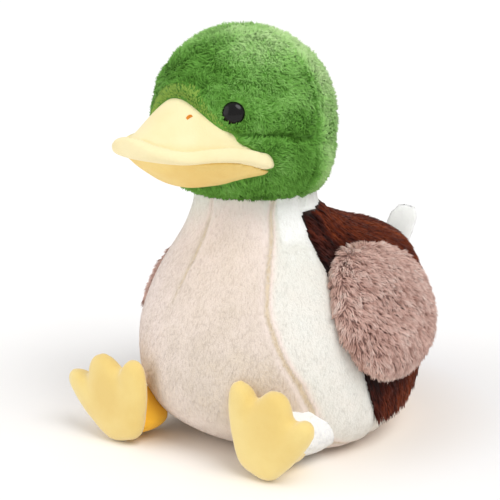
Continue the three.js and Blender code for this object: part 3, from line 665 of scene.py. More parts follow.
# %% [markdown]
# ## Bill
# Two flat pads of short velour. The upper one has a thick rolled lip under a crease and rises to a ridge
# that runs up into the forehead. The crease follows the edge at a lip's width, and it is sewn down before
# the pad is stuffed, so the lip and the slope swell on either side of it.

# %% Where the crease runs
LIP_WIDTH, LIP_GROWTH = 6.5 * MM, 3 * MM
EDGE_STEPS = 240


def from_bill_edge(points):
    places = np.linspace(0, len(BILL) - 1, EDGE_STEPS)
    half, _, _, reach = bill_edge(places)
    local = in_head(points)
    off = [np.hypot(np.abs(local[:, 0]) - h, local[:, 1] + r) for h, r in zip(half, reach)]
    return np.min(off, axis=0)


def from_crease(points):
    ahead = np.clip((-in_head(points)[:, 1] - 60 * MM) / (50 * MM), 0, 1)
    return from_bill_edge(points) - LIP_WIDTH - LIP_GROWTH * ahead


def in_face(points):
    return in_head(points)[:, 1] > -50 * MM


def bill_held(points):
    return np.maximum(near(from_crease(points), 3 * MM), in_face(points))


# %% Upper bill
BILL_RINGS, BILL_SIDES = 60, 96
upper_bill = lofted("upper_bill", upper_bill_point, BILL, BILL_RINGS, BILL_SIDES)
stuffed(upper_bill, 2.2 * MM, bill_held, 1 * MM)
rounded(upper_bill)
points = points_of(upper_bill)
crease = from_crease(points)
upper_side = np.clip(normals_of(upper_bill)[:, 2] * 2, 0, 1)
points[:, 2] += upper_side * (1.6 * near(crease + 4.5 * MM, 3 * MM) - 3.2 * near(crease, 1.7 * MM)) * MM
move_points(upper_bill, points)
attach(upper_bill, "head")
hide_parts("bill_upper")

# %% Lower bill
lower_bill = lofted("lower_bill", lower_bill_point, BILL, BILL_RINGS, BILL_SIDES)
stuffed(lower_bill, 2.4 * MM, in_face, 1.2 * MM)
rounded(lower_bill)
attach(lower_bill, "head")
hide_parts("bill_lower")

# %% [markdown]
# ## Roll of the forehead
# Where the bill is sewn in, the plush bulges over its root as a narrow roll. The head's own points are
# pushed out by their distance from the bill, so the roll follows the bill's root by itself and fades
# towards the cheeks.

# %% Roll of the forehead over the bill
ROLL_WIDTH, ROLL_ENDS, ROLL_FADE = 7.5 * MM, 44 * MM, 26 * MM
ROLL_HEIGHT, ROLL_DIP = 2.8, 1.8


def roll_width(points):
    return ROLL_WIDTH * np.clip((ROLL_ENDS - np.abs(in_head(points)[:, 0])) / ROLL_FADE, 0, 1)


points = points_of(head)
gap, wide = gap_to(points, upper_bill)[0], roll_width(points)
swell = ROLL_HEIGHT * near(gap - wide / 2, 4 * MM) - ROLL_DIP * near(gap - wide - 1.5 * MM, 1.8 * MM)
swell *= np.clip((in_head(points)[:, 2] - 42 * MM) / (6 * MM), 0, 1) * wide / ROLL_WIDTH
move_points(head, points + normals_of(head) * swell[:, None] * MM)
print("the roll rises", round(float(swell.max()), 2), "mm")

# %% [markdown]
# ## Wings
# The wings are flat stuffed pads, hinged along their front edge. The CAD cover and lining already have
# their outline, so copies of the two are joined, and the remesh makes one closed pad of them.

# %% Wings
wings = {}
TUCK = {"left": (0, 0, 0), "right": (2 * MM, 3 * MM, -8 * MM)}
WING_RAISE = 0.25
for side in SIDES:
    wing = joined_copy(f"wing_fill_{side}", f"wing_{side}_cover", f"wing_{side}_lining")
    points = points_of(wing) + TUCK[side]
    low = np.minimum(points[:, 2] - (points[:, 2].min() + points[:, 2].max()) / 2, 0)
    points[:, 2] -= low * WING_RAISE
    move_points(wing, points)
    stuffed(wing, 4 * MM, held_a_little(0.2), 1.5 * MM)
    rounded(wing)
    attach(wing, f"wing_{side}")
    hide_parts(f"wing_{side}_cover", f"wing_{side}_lining")
    wings[side] = wing

# %% [markdown]
# ## Tail
# A small tab, stuffed until it has no edges left. It is smoothed after the stuffing, and then widened about
# its own middle, because smoothing shrinks a thin form.

# %% Tail
TAIL_SHIFT, TAIL_SINK = (1 * MM, 0, -3.4 * MM), np.array([1, 0, 1.5]) * MM
TAIL_SIZE = np.array([1.3, 1.15, 1.06])
tail = joined_copy("tail_tab", "tail")
move_points(tail, points_of(tail) + TAIL_SHIFT)
stuffed(tail, 3 * MM, held_a_little(0.3), 1 * MM)
apply_modifier(tail, "SMOOTH", factor=0.5, iterations=8)
points = points_of(tail)
middle = points.mean(axis=0)
move_points(tail, middle + (points - middle) * TAIL_SIZE - TAIL_SINK)
rounded(tail)
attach(tail, "trunk")
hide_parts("tail")

# %% [markdown]
# ## Thighs and ankles
# The legs are stuffed balls at the hips, each with a short velour sleeve in front of it. The thighs are
# copies of the CAD balls, and the sleeves are lofts along the leg, because their shape changes from ring to
# ring.

# %% Sizes of thighs and ankles
thighs, ankles, feet = {}, {}, {}
HIPS = {"left": np.array([55, -66, 27.5]) * MM, "right": np.array([-65, -82, 27.5]) * MM}
THIGH_SIZE = {"left": np.array([1.06, 1.5, 0.98]), "right": np.array([0.8, 0.8, 0.8])}
# in front of the hip, radius
SLEEVE = {
    "left": np.array([
        [50, 6], [49, 13], [44, 16], [38, 17], [32, 18], [26, 18], [20, 18.5], [17, 16], [16.5, 7],
    ]) * MM,
    "right": np.array([
        [50, 6], [49, 13], [44, 16], [38, 17.5], [32, 18], [26, 17.5], [20, 16], [14, 11], [12, 4],
    ]) * MM,
}
ANKLE_DROP = {"left": 8 * MM, "right": 8.5 * MM}
# the right ankle is squeezed into a point on its inner side
ANKLE_POINT, POINT_TURN, POINT_SHARPNESS = {"left": 0, "right": 0.36}, 0.2, 10


# %% Thighs and ankles
def sleeve(name, side):
    rows, hip = SLEEVE[side], HIPS[side]

    def point(place, angle):
        ahead, radius = through(rows[:, 0], place), through(rows[:, 1], place)
        point_share = np.clip(np.cos(angle + POINT_TURN), 0, 1) ** POINT_SHARPNESS
        radius = radius * (1 + ANKLE_POINT[side] * point_share)
        return hip + np.stack([np.cos(angle) * radius, -ahead, np.sin(angle) * radius - ANKLE_DROP[side]], -1)

    return lofted(name, point, rows, 24, 32)


for side in SIDES:
    thigh = joined_copy(f"soft_thigh_{side}", f"thigh_{side}")
    move_points(thigh, HIPS[side] + (points_of(thigh) - HIPS[side]) * THIGH_SIZE[side])
    stuffed(thigh, 4 * MM, held_a_little(0.3), 1 * MM)
    apply_modifier(thigh, "SMOOTH", factor=0.5, iterations=10)
    rounded(thigh)
    ankle = sleeve(f"soft_ankle_{side}", side)
    stuffed(ankle, 3 * MM, held_a_little(0.3), 1 * MM)
    rounded(ankle)
    for piece, node in ((thigh, f"thigh_{side}"), (ankle, f"ankle_{side}")):
        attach(piece, f"leg_{side}")
        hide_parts(node)
    thighs[side], ankles[side] = thigh, ankle

# %% [markdown]
# ## Feet
# A webbed foot is a flat pad with three toes, parted by two dents. Half of its outline is written down and
# the other half mirrored. Rings of that outline, smaller and smaller towards both faces, give the pad its
# dome.

# %% Outline and dome of a foot
# out from the middle, up from the heel
FOOT = np.array([
    [0, 0], [.26, .006], [.44, .05], [.58, .14], [.72, .26], [.86, .39], [.98, .54], [1.05, .67],
    [1.075, .76], [1.01, .845], [.87, .88], [.71, .865], [.57, .83], [.46, .83], [.37, .87], [.27, .94],
    [.14, .987], [0, 1.0],
])
# size of the outline, half thickness
DOME = [(.3, 1), (.62, .95), (.87, .72), (1, .25)]
FOOT_HALF, FOOT_HEIGHT, FOOT_THICK = 35 * MM, 67 * MM, 17 * MM
OUTLINE_STEPS = 72
LEAN, YAW, HIP_TO_SOLE = np.radians(18), np.radians(5), 51.3 * MM
ASIDE = {"left": -4 * MM, "right": 5.3 * MM}
HEEL_ASIDE = {"left": 1 * MM, "right": 4.4 * MM}
OUTER_SHARE = {"left": 0.84, "right": 0.96}


def foot_outline():
    places = np.linspace(0, len(FOOT) - 1, OUTLINE_STEPS)
    out, up = through(FOOT[:, 0], places), through(FOOT[:, 1], places)
    out, up = np.concatenate([out, -out[-2:0:-1]]), np.concatenate([up, up[-2:0:-1]])
    return out * FOOT_HALF, up * FOOT_HEIGHT


# %% Foot, leaning outward and turned
def in_foot(points, side):
    hip, t = HIPS[side], LEAN if side == "left" else -LEAN
    x, y, z = points[:, 0] - hip[0], points[:, 1] - hip[1] + HIP_TO_SOLE, points[:, 2]
    x, y = x * np.cos(YAW) + y * np.sin(YAW), y * np.cos(YAW) - x * np.sin(YAW)
    x, z = x * np.cos(t) - z * np.sin(t), x * np.sin(t) + z * np.cos(t)
    x = x - ASIDE[side] - HEEL_ASIDE[side] * (1 - z / FOOT_HEIGHT)
    return np.stack([np.where(x > 0, x / OUTER_SHARE[side], x), y, z], -1)


def foot_form(name, side):
    out, up = foot_outline()
    rings = [(size, -half) for size, half in DOME] + [(size, half) for size, half in DOME[::-1]]
    middle = FOOT_HEIGHT / 2
    rows = [
        np.stack([out * size, np.full_like(out, half * FOOT_THICK / 2), middle + (up - middle) * size], -1)
        for size, half in rings
    ]
    points = np.concatenate(rows + [rows[0].mean(0)[None], rows[-1].mean(0)[None]])
    count, t = len(out), LEAN if side == "left" else -LEAN
    x, y, z = points.T
    x = np.where(x > 0, x * OUTER_SHARE[side], x) + ASIDE[side] + HEEL_ASIDE[side] * (1 - z / FOOT_HEIGHT)
    x, z = x * np.cos(t) + z * np.sin(t), z * np.cos(t) - x * np.sin(t)
    x, y = x * np.cos(YAW) - y * np.sin(YAW), x * np.sin(YAW) + y * np.cos(YAW)
    hip = HIPS[side]
    points = np.stack([x + hip[0], y + hip[1] - HIP_TO_SOLE, z - z.min()], -1)
    faces = [
        (r * count + k, r * count + (k + 1) % count, (r + 1) * count + (k + 1) % count, (r + 1) * count + k)
        for r in range(len(rows) - 1) for k in range(count)
    ]
    ends, last = len(rows) * count, (len(rows) - 1) * count
    faces += [((k + 1) % count, k, ends) for k in range(count)]
    faces += [(last + k, last + (k + 1) % count, ends + 1) for k in range(count)]
    return solid(name, points, faces)


# %% Dents between the toes
def toe_dents(points, side):
    local = in_foot(points, side)
    up = local[:, 2] / FOOT_HEIGHT
    line = 0.51 - (0.85 - up) * 0.3
    off = np.abs(np.abs(local[:, 0] / FOOT_HALF) - line) * FOOT_HALF
    return near(off, 4.5 * MM) * np.clip((up - 0.55) / 0.3, 0, 1)


DENT_DEPTH, FOOT_VOXEL, FOOT_SWELL = 2.2, 2.6 * MM, 1.2 * MM
for side in SIDES:
    foot = foot_form(f"soft_foot_{side}", side)
    stuffed(foot, FOOT_VOXEL, lambda points: toe_dents(points, side), FOOT_SWELL)
    rounded(foot)
    points = points_of(foot)
    points = points - normals_of(foot) * (toe_dents(points, side) * DENT_DEPTH * MM)[:, None]
    points[:, 2] = np.maximum(points[:, 2], 0.3 * MM)
    move_points(foot, points)
    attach(foot, f"leg_{side}")
    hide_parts(f"foot_{side}_upper", f"foot_{side}_sole")
    feet[side] = foot

# %% [markdown]
# ## Eyes
# Each eye is a moulded black dome that sits in the plush. Its profile is spun round its own axis, which
# points straight out of the head: the skin's slope at the seat gives that direction. Black plastic is never
# one even black, so a faint grain changes it a little, and its low roughness keeps the highlight sharp.

# %% A profile spun round an axis
EYE_RADIUS, EYE_DOME, EYE_DEPTH = 8 * MM, 4.6 * MM, 6 * MM
EYE_SIDES, DOME_STEPS = 48, 12
# share of the head's height, degrees round from the front
EYE_HEIGHT, EYE_ROUND = 70 / 123, {1: 40.5, -1: 43.5}
EYE_SINK = {"left": 1.6 * MM, "right": 2.6 * MM}


def spun(name, profile, sides, centre, outward):
    turn = Vector(outward).to_track_quat("Z", "Y").to_matrix()
    points = [Vector(centre) + turn @ Vector((0, 0, profile[0][1]))]
    for radius, height in profile[1:-1]:
        for k in range(sides):
            a = 2 * np.pi * k / sides
            points.append(Vector(centre) + turn @ Vector((radius * np.cos(a), radius * np.sin(a), height)))
    points.append(Vector(centre) + turn @ Vector((0, 0, profile[-1][1])))
    rings = len(profile) - 2
    faces = [(0, 1 + (k + 1) % sides, 1 + k) for k in range(sides)]
    for ring in range(rings - 1):
        low = 1 + ring * sides
        for k in range(sides):
            after = low + (k + 1) % sides
            faces.append((low + k, after, after + sides, low + sides + k))
    low = 1 + (rings - 1) * sides
    faces += [(low + k, low + (k + 1) % sides, len(points) - 1) for k in range(sides)]
    piece = solid(name, points, faces)
    piece.data.polygons.foreach_set("use_smooth", np.ones(len(faces), bool))
    return piece


# %% Where an eye sits on the head, and which way it looks
def eye_seat(sign):
    places = np.linspace(1, len(HEAD) - 1, 400)
    place = places[np.argmin(np.abs(through(HEAD[:, 0], places) - EYE_HEIGHT))]
    angle, step = sign * np.radians(EYE_ROUND[sign]), 0.01

    def skin(up, around):
        return head_point(np.array(place + up), np.array(angle + around))

    at = skin(0, 0)
    outward = np.cross(skin(0, step) - skin(0, -step), skin(step, 0) - skin(-step, 0))
    outward /= np.linalg.norm(outward)
    from_middle = at - place_head(np.array([0, 0, 60 * MM]))
    return at, outward if outward @ from_middle > 0 else -outward


# %% Black moulding
BLACK_TONES = [(0, (0.004, 0.004, 0.004)), (1, (0.009, 0.007, 0.007))]
BLACK_GRAIN = 150
black, black_tree, black_shader = new_finish("black moulding", rough=0.16, specular=0.25)
black_place = black_tree.nodes.new("ShaderNodeTexCoord")
black_grain = noise_of(black_tree, black_place, BLACK_GRAIN)
black_tone = ramp(black_tree, BLACK_TONES)
black_tree.links.new(black_grain.outputs["Fac"], black_tone.inputs[0])
black_tree.links.new(black_tone.outputs[0], black_shader.inputs["Base Color"])

# %% Eyes
for side, sign in (("left", 1), ("right", -1)):
    seat, outward = eye_seat(sign)
    dome = [(EYE_RADIUS * np.cos(a), EYE_DOME * np.sin(a)) for a in np.linspace(0, np.pi / 2, DOME_STEPS)]
    profile = [(0, -EYE_DEPTH), (EYE_RADIUS * 0.6, -EYE_DEPTH), (EYE_RADIUS, -1.6 * MM)] + dome
    eye = spun(f"moulded_eye_{side}", profile, EYE_SIDES, seat - outward * EYE_SINK[side], outward)
    eye.data.materials.append(black)
    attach(eye, "head")
    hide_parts(f"eye_{side}")

# %% [markdown]
# ## Nostril threads
# Two short satin stitches of orange thread mark the nostrils. A satin stitch is a few threads side by side,
# so a single thread is made as a tube that dives into the cloth at both ends, and four of them lie next to
# each other.

# %% One thread
STITCH_LENGTH, STITCH_WIDTH, THREADS, THREAD_RADIUS = 5 * MM, 2.3 * MM, 4, 0.45 * MM


def thread(start, end, radius, sides=8, rings=9):
    along = unit(end - start)
    side = unit(np.cross(along, [0, 0, 1.0]))
    up = np.cross(side, along)
    rows = []
    turns = np.arange(sides) * 2 * np.pi / sides
    for t in np.linspace(0, 1, rings):
        thick = radius * max(np.sin(np.pi * min(max(t, 0.04), 0.96)), 0) ** 0.35
        centre = start + (end - start) * t + up * (np.sin(np.pi * t) * 1.6 - 1.0) * radius
        rows.append([centre + (side * np.cos(a) + up * np.sin(a)) * thick for a in turns])
    return rows


# %% Nostril stitches
# row of the bill's sections, and the share of a turn round that row
STITCH_ROW, STITCH_TURN = 3.0, {"left": 0.185, "right": 0.345}
for side, turn in STITCH_TURN.items():
    points, faces = [], []
    place, angle = np.array(STITCH_ROW), np.array(turn * 2 * np.pi)
    at = upper_bill_point(place, angle)
    ahead = unit(upper_bill_point(place + 0.05, angle) - at)
    across = unit(upper_bill_point(place, angle + 0.02) - at)
    for k in range(THREADS):
        shift = across * (k / (THREADS - 1) - 0.5) * (STITCH_WIDTH - 0.8 * MM)
        half = ahead * STITCH_LENGTH / 2
        rows = thread(at + shift - half, at + shift + half, THREAD_RADIUS)
        first = len(points)
        points += [p for row in rows for p in row] + [np.mean(rows[0], 0), np.mean(rows[-1], 0)]
        count = len(rows[0])
        for r in range(len(rows) - 1):
            for c in range(count):
                low, high = first + r * count + c, first + r * count + (c + 1) % count
                faces.append((low, high, high + count, low + count))
        for c in range(count):
            faces.append((first + (c + 1) % count, first + c, first + len(rows) * count))
            last = first + (len(rows) - 1) * count
            faces.append((last + c, last + (c + 1) % count, first + len(rows) * count + 1))
    stitch = solid(f"satin_stitch_{side}", points, faces)
    stitch.data.polygons.foreach_set("use_smooth", np.ones(len(faces), bool))
    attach(stitch, "head")
    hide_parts(f"nostril_stitch_{side}")

# %% [markdown]
# ## Pile
# Plush pile is thousands of fine fibres that lean one way and stick together in small locks. Blender's hair
# would grow them, but hair isn't mesh, and a bump alone leaves the outline smooth. Each fibre here is a
# thin tapered spike of mesh, rooted in the skin. It carries its own UV map: u is the fibre's tint, v runs
# from its root to its tip, so that one finish can shade them all.


# %% Roots spread over a skin
def triangles_of(piece):
    mesh = piece.data
    mesh.calc_loop_triangles()
    corner = np.empty(len(mesh.loop_triangles) * 3, np.int32)
    mesh.loop_triangles.foreach_get("vertices", corner)
    corner = corner.reshape(-1, 3)
    return points_of(piece)[corner], normals_of(piece)[corner]


def roots_on(piece, per_mm2, seed, share=None):
    rng = np.random.default_rng(seed)
    corners_at, normals_at = triangles_of(piece)
    one_side, other_side = corners_at[:, 1] - corners_at[:, 0], corners_at[:, 2] - corners_at[:, 0]
    area = np.linalg.norm(np.cross(one_side, other_side), axis=1) / 2
    if share is not None:
        area = area * np.clip(share(corners_at.mean(1)), 0, 1)
    amount = int(area.sum() * 1e6 * per_mm2)
    pick = rng.choice(len(area), amount, p=area / area.sum())
    a, b = rng.random(amount), rng.random(amount)
    flip = a + b > 1
    a[flip], b[flip] = 1 - a[flip], 1 - b[flip]
    weights = np.stack([1 - a - b, a, b], 1)[:, :, None]
    return (corners_at[pick] * weights).sum(1), unit((normals_at[pick] * weights).sum(1))


# %% Locks: tips drawn towards a shared point
# spacing is the share of the fibres that lead a lock
def locks(roots, spacing, seed):
    rng = np.random.default_rng(seed)
    centres = rng.permutation(len(roots))[: max(1, int(len(roots) * spacing))]
    tree = KDTree(len(centres))
    for k, index in enumerate(centres):
        tree.insert(roots[index], k)
    tree.balance()
    nearest = np.array([tree.find(p)[1] for p in roots])
    return centres[nearest], nearest


# %% [markdown]
# ## How a fibre stands
# A fibre starts under the skin, leans along the flow and strays a little. A long one is bent once, so it
# has ten faces, and a short one is straight, with four. The faces' normals lean towards the skin's own
# normal, because light on real pile follows the form under it and not each hair. No piece may be too heavy,
# so a pile is shared out over a few pieces, like slices of a cake.

# %% Fibres as tapered spikes
FIBRES_A_PIECE = 19000
SPIKE = [(0, 1, 3), (1, 2, 3), (2, 0, 3), (0, 2, 1)]
BENT = [
    (0, 1, 3), (1, 4, 3), (1, 2, 4), (2, 5, 4), (2, 0, 5), (0, 3, 5),
    (3, 4, 6), (4, 5, 6), (5, 3, 6), (0, 2, 1),
]


# lean: 0 upright, 1 flat. curl: how far a fibre strays. spread: how round a fibre is shaded.
# lock: share of leading fibres, pull to the leader, painted shade at the lock's rim, change of tint from lock
# to lock
def fibres(
    name, roots, normals, flow, tint, body, finish, seed, length, width, lean, curl, lock, spread,
    bent=True,
):
    rng = np.random.default_rng(seed)
    amount = len(roots)
    along = unit(flow - normals * (flow * normals).sum(1, keepdims=True))
    stray = unit(rng.normal(size=(amount, 3)))
    lean = np.asarray(lean) * np.ones(amount)
    size = np.asarray(length) * (0.75 + 0.5 * rng.random(amount))
    first = unit(normals * (1 - lean * 0.7)[:, None] + along * (lean * 0.7)[:, None] + stray * curl)
    second = unit(normals * (1 - lean)[:, None] + along * (lean * 1.15)[:, None] + stray * curl * 1.6)
    base = roots - normals * 0.5 * MM
    middle = base + first * (size * 0.5)[:, None]
    tip = middle + second * (size * 0.5)[:, None]
    centre, group = locks(roots, lock[0], seed + 1)
    pull = lock[1] * (0.6 + 0.4 * rng.random(amount))[:, None]
    moved = (tip[centre] - tip) * pull
    tip, middle = tip + moved, middle + moved * 0.3
    # painted shade: a fibre far from its lock's leader is darker, as if it lay in the gap between locks
    apart = np.linalg.norm(roots[centre] - roots, axis=1)
    rim = np.minimum(apart / max(apart.mean() * 2, 1e-9), 1)
    tint = tint - lock[2] * rim + lock[3] * (rng.random(amount)[group] - 0.5)
    side = unit(np.cross(tip - base, stray))
    other = unit(np.cross(tip - base, side))
    wide = np.asarray(width) * (0.8 + 0.4 * rng.random(amount))
    turns = [side * np.cos(a) + other * np.sin(a) for a in np.arange(3) * 2 * np.pi / 3]
    ring = [base + turn * (wide * 0.5)[:, None] for turn in turns]
    facing = [turn * spread + normals for turn in turns]
    rising = [0, 0, 0]
    if bent:
        ring += [middle + turn * (wide * 0.42)[:, None] for turn in turns]
        facing += facing
        rising += [0.5, 0.5, 0.5]
    ring.append(tip)
    facing.append(normals + second * 0.3)
    rising.append(1)
    shape, facing = np.stack(ring, 1), unit(np.stack(facing, 1))
    faces, limit = (BENT, FIBRES_A_PIECE) if bent else (SPIKE, FIBRES_A_PIECE * 2)
    bearing = np.arctan2(roots[:, 0] - roots[:, 0].mean(), roots[:, 1] - roots[:, 1].mean())
    order = np.argsort(bearing, kind="stable")
    parts = np.array_split(order, int(np.ceil(amount / limit)))
    for number, part in enumerate(parts):
        piece = fibre_mesh(f"{name}_{number + 1}", shape[part], facing[part], faces, rising, tint[part])
        piece.data.materials.append(finish)
        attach(piece, body)
    print(name, amount, "fibres in", len(parts), "pieces,", amount * len(faces), "triangles")


# %% One mesh of many fibres
def fibre_mesh(name, shape, facing, faces, rising, tint):
    amount, corners_each = shape.shape[:2]
    index = (np.arange(amount)[:, None, None] * corners_each + np.array(faces)[None]).reshape(-1)
    mesh = bpy.data.meshes.new(name)
    mesh.vertices.add(amount * corners_each)
    mesh.vertices.foreach_set("co", shape.astype(np.float32).ravel())
    mesh.loops.add(len(index))
    mesh.loops.foreach_set("vertex_index", index.astype(np.int32))
    count = amount * len(faces)
    mesh.polygons.add(count)
    mesh.polygons.foreach_set("loop_start", np.arange(count, dtype=np.int32) * 3)
    mesh.polygons.foreach_set("use_smooth", np.ones(count, bool))
    layer = mesh.uv_layers.new(name="OFBake")
    uv = np.empty((amount, len(faces) * 3, 2), np.float32)
    uv[:, :, 0] = np.clip(tint, 0.002, 0.998)[:, None]
    uv[:, :, 1] = np.clip(np.array(rising)[np.array(faces).ravel()], 0.01, 0.99)[None]
    layer.data.foreach_set("uv", uv.ravel())
    mesh.update(calc_edges=True)
    mesh.normals_split_custom_set_from_vertices(facing.reshape(-1, 3).tolist())
    piece = bpy.data.objects.new(name, mesh)
    bpy.context.scene.collection.objects.link(piece)
    return piece


# %% [markdown]
# ## Finishes for fibres and skins
# Fibres are darker at the root, where less light gets in, and that shade is painted: a fibre's colour is its
# tint times a painted shade that rises from root to tip. Velour and knitted backing are too fine to model, so
# they get a mottled colour and a fine bump.


# %% A finish for fibres
def fibre_finish(name, tints, root, rough=0.8):
    finish, tree, shader = new_finish(name, rough=rough, specular=0.15)
    place = tree.nodes.new("ShaderNodeUVMap")
    place.uv_map = "OFBake"
    split = tree.nodes.new("ShaderNodeSeparateXYZ")
    tree.links.new(place.outputs[0], split.inputs[0])
    # painted shade: the second ramp darkens each fibre towards its root
    hue, depth = ramp(tree, tints), ramp(tree, [(0, root), (1, (1, 1, 1))])
    tree.links.new(split.outputs["X"], hue.inputs[0])
    tree.links.new(split.outputs["Y"], depth.inputs[0])
    mix = tree.nodes.new("ShaderNodeMix")
    mix.data_type = "RGBA"
    mix.blend_type = "MULTIPLY"
    mix.inputs["Factor"].default_value = 1
    tree.links.new(hue.outputs[0], mix.inputs["A"])
    tree.links.new(depth.outputs[0], mix.inputs["B"])
    tree.links.new(mix.outputs["Result"], shader.inputs["Base Color"])
    return finish


# %% A finish for skins: knitted backing, velour and thread
KNIT_SIZE, KNIT_HEIGHT = 900, 0.0006


def knitted(tree, place, shader, bump):
    lift = tree.nodes.new("ShaderNodeBump")
    lift.inputs["Strength"].default_value = bump
    lift.inputs["Distance"].default_value = KNIT_HEIGHT
    fine = noise_of(tree, place, KNIT_SIZE)
    tree.links.new(fine.outputs["Fac"], lift.inputs["Height"])
    tree.links.new(lift.outputs[0], shader.inputs["Normal"])


def skin_finish(name, low, high, scale=120, sheen=0.3, bump=0.3):
    finish, tree, shader = new_finish(name, sheen=sheen, specular=0.15)
    place = tree.nodes.new("ShaderNodeTexCoord")
    grain = noise_of(tree, place, scale, detail=4)
    shades = ramp(tree, [(0.35, low), (0.65, high)])
    tree.links.new(grain.outputs["Fac"], shades.inputs[0])
    tree.links.new(shades.outputs[0], shader.inputs["Base Color"])
    knitted(tree, place, shader, bump)
    return finish


# %% [markdown]
# ## Painted backing
# The cream and the green plush change colour over the toy, partly through painted light and painted shade.
# Their backing shows between the fibres, so each point of the skin keeps the pile's tint, painted light and
# shade included, in an attribute, and the finish reads its colour from the same ramp.


# %% A skin painted like its pile
def painted_finish(name, tones):
    finish, tree, shader = new_finish(name, sheen=0.3, specular=0.15)
    read = tree.nodes.new("ShaderNodeAttribute")
    read.attribute_name = "shade"
    colours = ramp(tree, tones)
    tree.links.new(read.outputs["Fac"], colours.inputs[0])
    tree.links.new(colours.outputs[0], shader.inputs["Base Color"])
    knitted(tree, tree.nodes.new("ShaderNodeTexCoord"), shader, 0.3)
    return finish


def paint(piece, tints):
    shade = piece.data.attributes.new("shade", "FLOAT", "POINT")
    shade.data.foreach_set("value", tints.astype(np.float32))
    print(piece.name, "painted, tints", round(float(tints.min()), 2), "to", round(float(tints.max()), 2))


# %% [markdown]
# ## Skins
# Each piece now gets its finish. The brown and taupe backings are painted darker than their pile, a painted
# shade that makes the gaps between locks look deep. The bill, ankles and feet are velour, whose pile is too
# short to stand out from the outline. The right ankle's velour is painted as it looks in the shade, a deeper
# orange than the left one's.

# %% Backing, velour and thread
# the low stops are where the painted shade of the seams and of the front of the breast ends up
CREAM = [
    (0, rgb(.89, .82, .72)), (0.2, rgb(.865, .81, .755)), (0.5, rgb(.955, .895, .865)),
    (0.75, rgb(.93, .91, .875)), (0.9, rgb(.92, .915, .885)), (1, rgb(.99, .99, .98)),
]
GREEN = [
    (0, rgb(.30, .50, .15)), (0.3, rgb(.46, .70, .30)), (0.6, rgb(.64, .86, .48)), (1, rgb(.84, .97, .70)),
]
cream_skin = painted_finish("cream backing", CREAM)
green_skin = painted_finish("green backing", GREEN)
white_skin = skin_finish("white backing", rgb(.97, .97, .96), rgb(.99, .99, .98), scale=30)
# painted shade: the brown and taupe backings are darker than their pile, so the gaps between locks look deep
shaded_brown_skin = skin_finish("brown backing", rgb(.12, .05, .03), rgb(.20, .09, .06))
shaded_taupe_skin = skin_finish("taupe backing", rgb(.48, .36, .33), rgb(.62, .50, .46))
velour = skin_finish("yellow velour", rgb(.905, .785, .47), rgb(.94, .845, .55), scale=22, sheen=0.6)
bill_velour = skin_finish("bill velour", rgb(.955, .89, .69), rgb(.97, .92, .74), scale=30, sheen=0.2)
chin_velour = skin_finish("chin velour", rgb(.92, .77, .45), rgb(.95, .84, .54), scale=30, sheen=0.1)
# painted shade with warm reflected light: the right ankle is the same velour as the left one, coloured as it
# looks in shadow
shaded_ankle_velour = skin_finish("ankle velour in shade", rgb(1, .76, .24), rgb(1, .80, .30), scale=30, sheen=0.1)
orange = skin_finish("orange thread", rgb(.82, .48, .15), rgb(.90, .58, .22), scale=400, sheen=0)
stuffing_white = skin_finish("white stuffing", rgb(.9, .9, .9), rgb(.97, .97, .97))
pale_nylon = skin_finish("pale nylon", rgb(.86, .86, .84), rgb(.93, .93, .91), scale=40, sheen=0, bump=0.02)

# %% Finishes on their pieces
for piece, finish in (
    (body, cream_skin), (tail, white_skin), (back, shaded_brown_skin), (head, green_skin), (upper_bill, bill_velour),
    (lower_bill, chin_velour), (neck, stuffing_white), *((p, shaded_taupe_skin) for p in wings.values()),
    *((p, white_skin) for p in thighs.values()), (ankles["left"], velour), (ankles["right"], shaded_ankle_velour),
    *((p, velour) for p in feet.values()),
):
    piece.data.materials.clear()
    piece.data.materials.append(finish)
for side in SIDES:
    bpy.data.objects[f"satin_stitch_{side}"].data.materials.append(orange)
    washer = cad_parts[f"eye_washer_{side}"]
    washer.material_slots[0].link = "OBJECT"
    washer.material_slots[0].material = pale_nylon
print("finishes so far:", len(bpy.data.materials))

# %% [markdown]
# ## Short white pile
# The breast, the belly, the tail and the thighs have a pile of 2 mm, combed flat. Straight fibres are enough
# for it. The breast is cream and paler on the flank; painted shade makes it warmer and darker in front, in
# the seams and underneath, and painted light makes it white at the collar.

# %% White and cream fibres
WHITE = [(0, rgb(.95, .94, .90)), (0.8, rgb(1, 1, .99)), (1, rgb(1, 1, 1))]
DOWN = np.array([0, 0, -1.0])
cream_pile = fibre_finish("cream pile", CREAM, (0.97, 0.96, 0.95))
white_pile = fibre_finish("white pile", WHITE, (0.98, 0.98, 1))


def white_part(points):
    seam = (points[:, 1] < back_line(points[:, 2]) + 3 * MM) | (below_collar(points) < 2 * MM)
    return (seam | (points[:, 2] < BROWN_LOW)) * (points[:, 2] > 3 * MM) * (points[:, 2] < 182 * MM)


# %% Painted shade and painted light on the cream, and the paler flank
# painted shade in front, in the seams and underneath; painted light at the collar; the flank is a paler cream
CREAM_TINT, FRONT_PAINTED_SHADE, SEAM_PAINTED_SHADE, LOW_PAINTED_SHADE = 0.53, 0.36, 0.7, 0.15
COLLAR_PAINTED_LIGHT, FLANK_PALER = 0.5, 0.32
BREAST_FACES = np.array([0.38, -0.92, 0.1])


def near_flank(points):
    return np.clip((points[:, 0] - breast_middle(points) - breast_line(points[:, 2])) / (6 * MM), 0, 1)


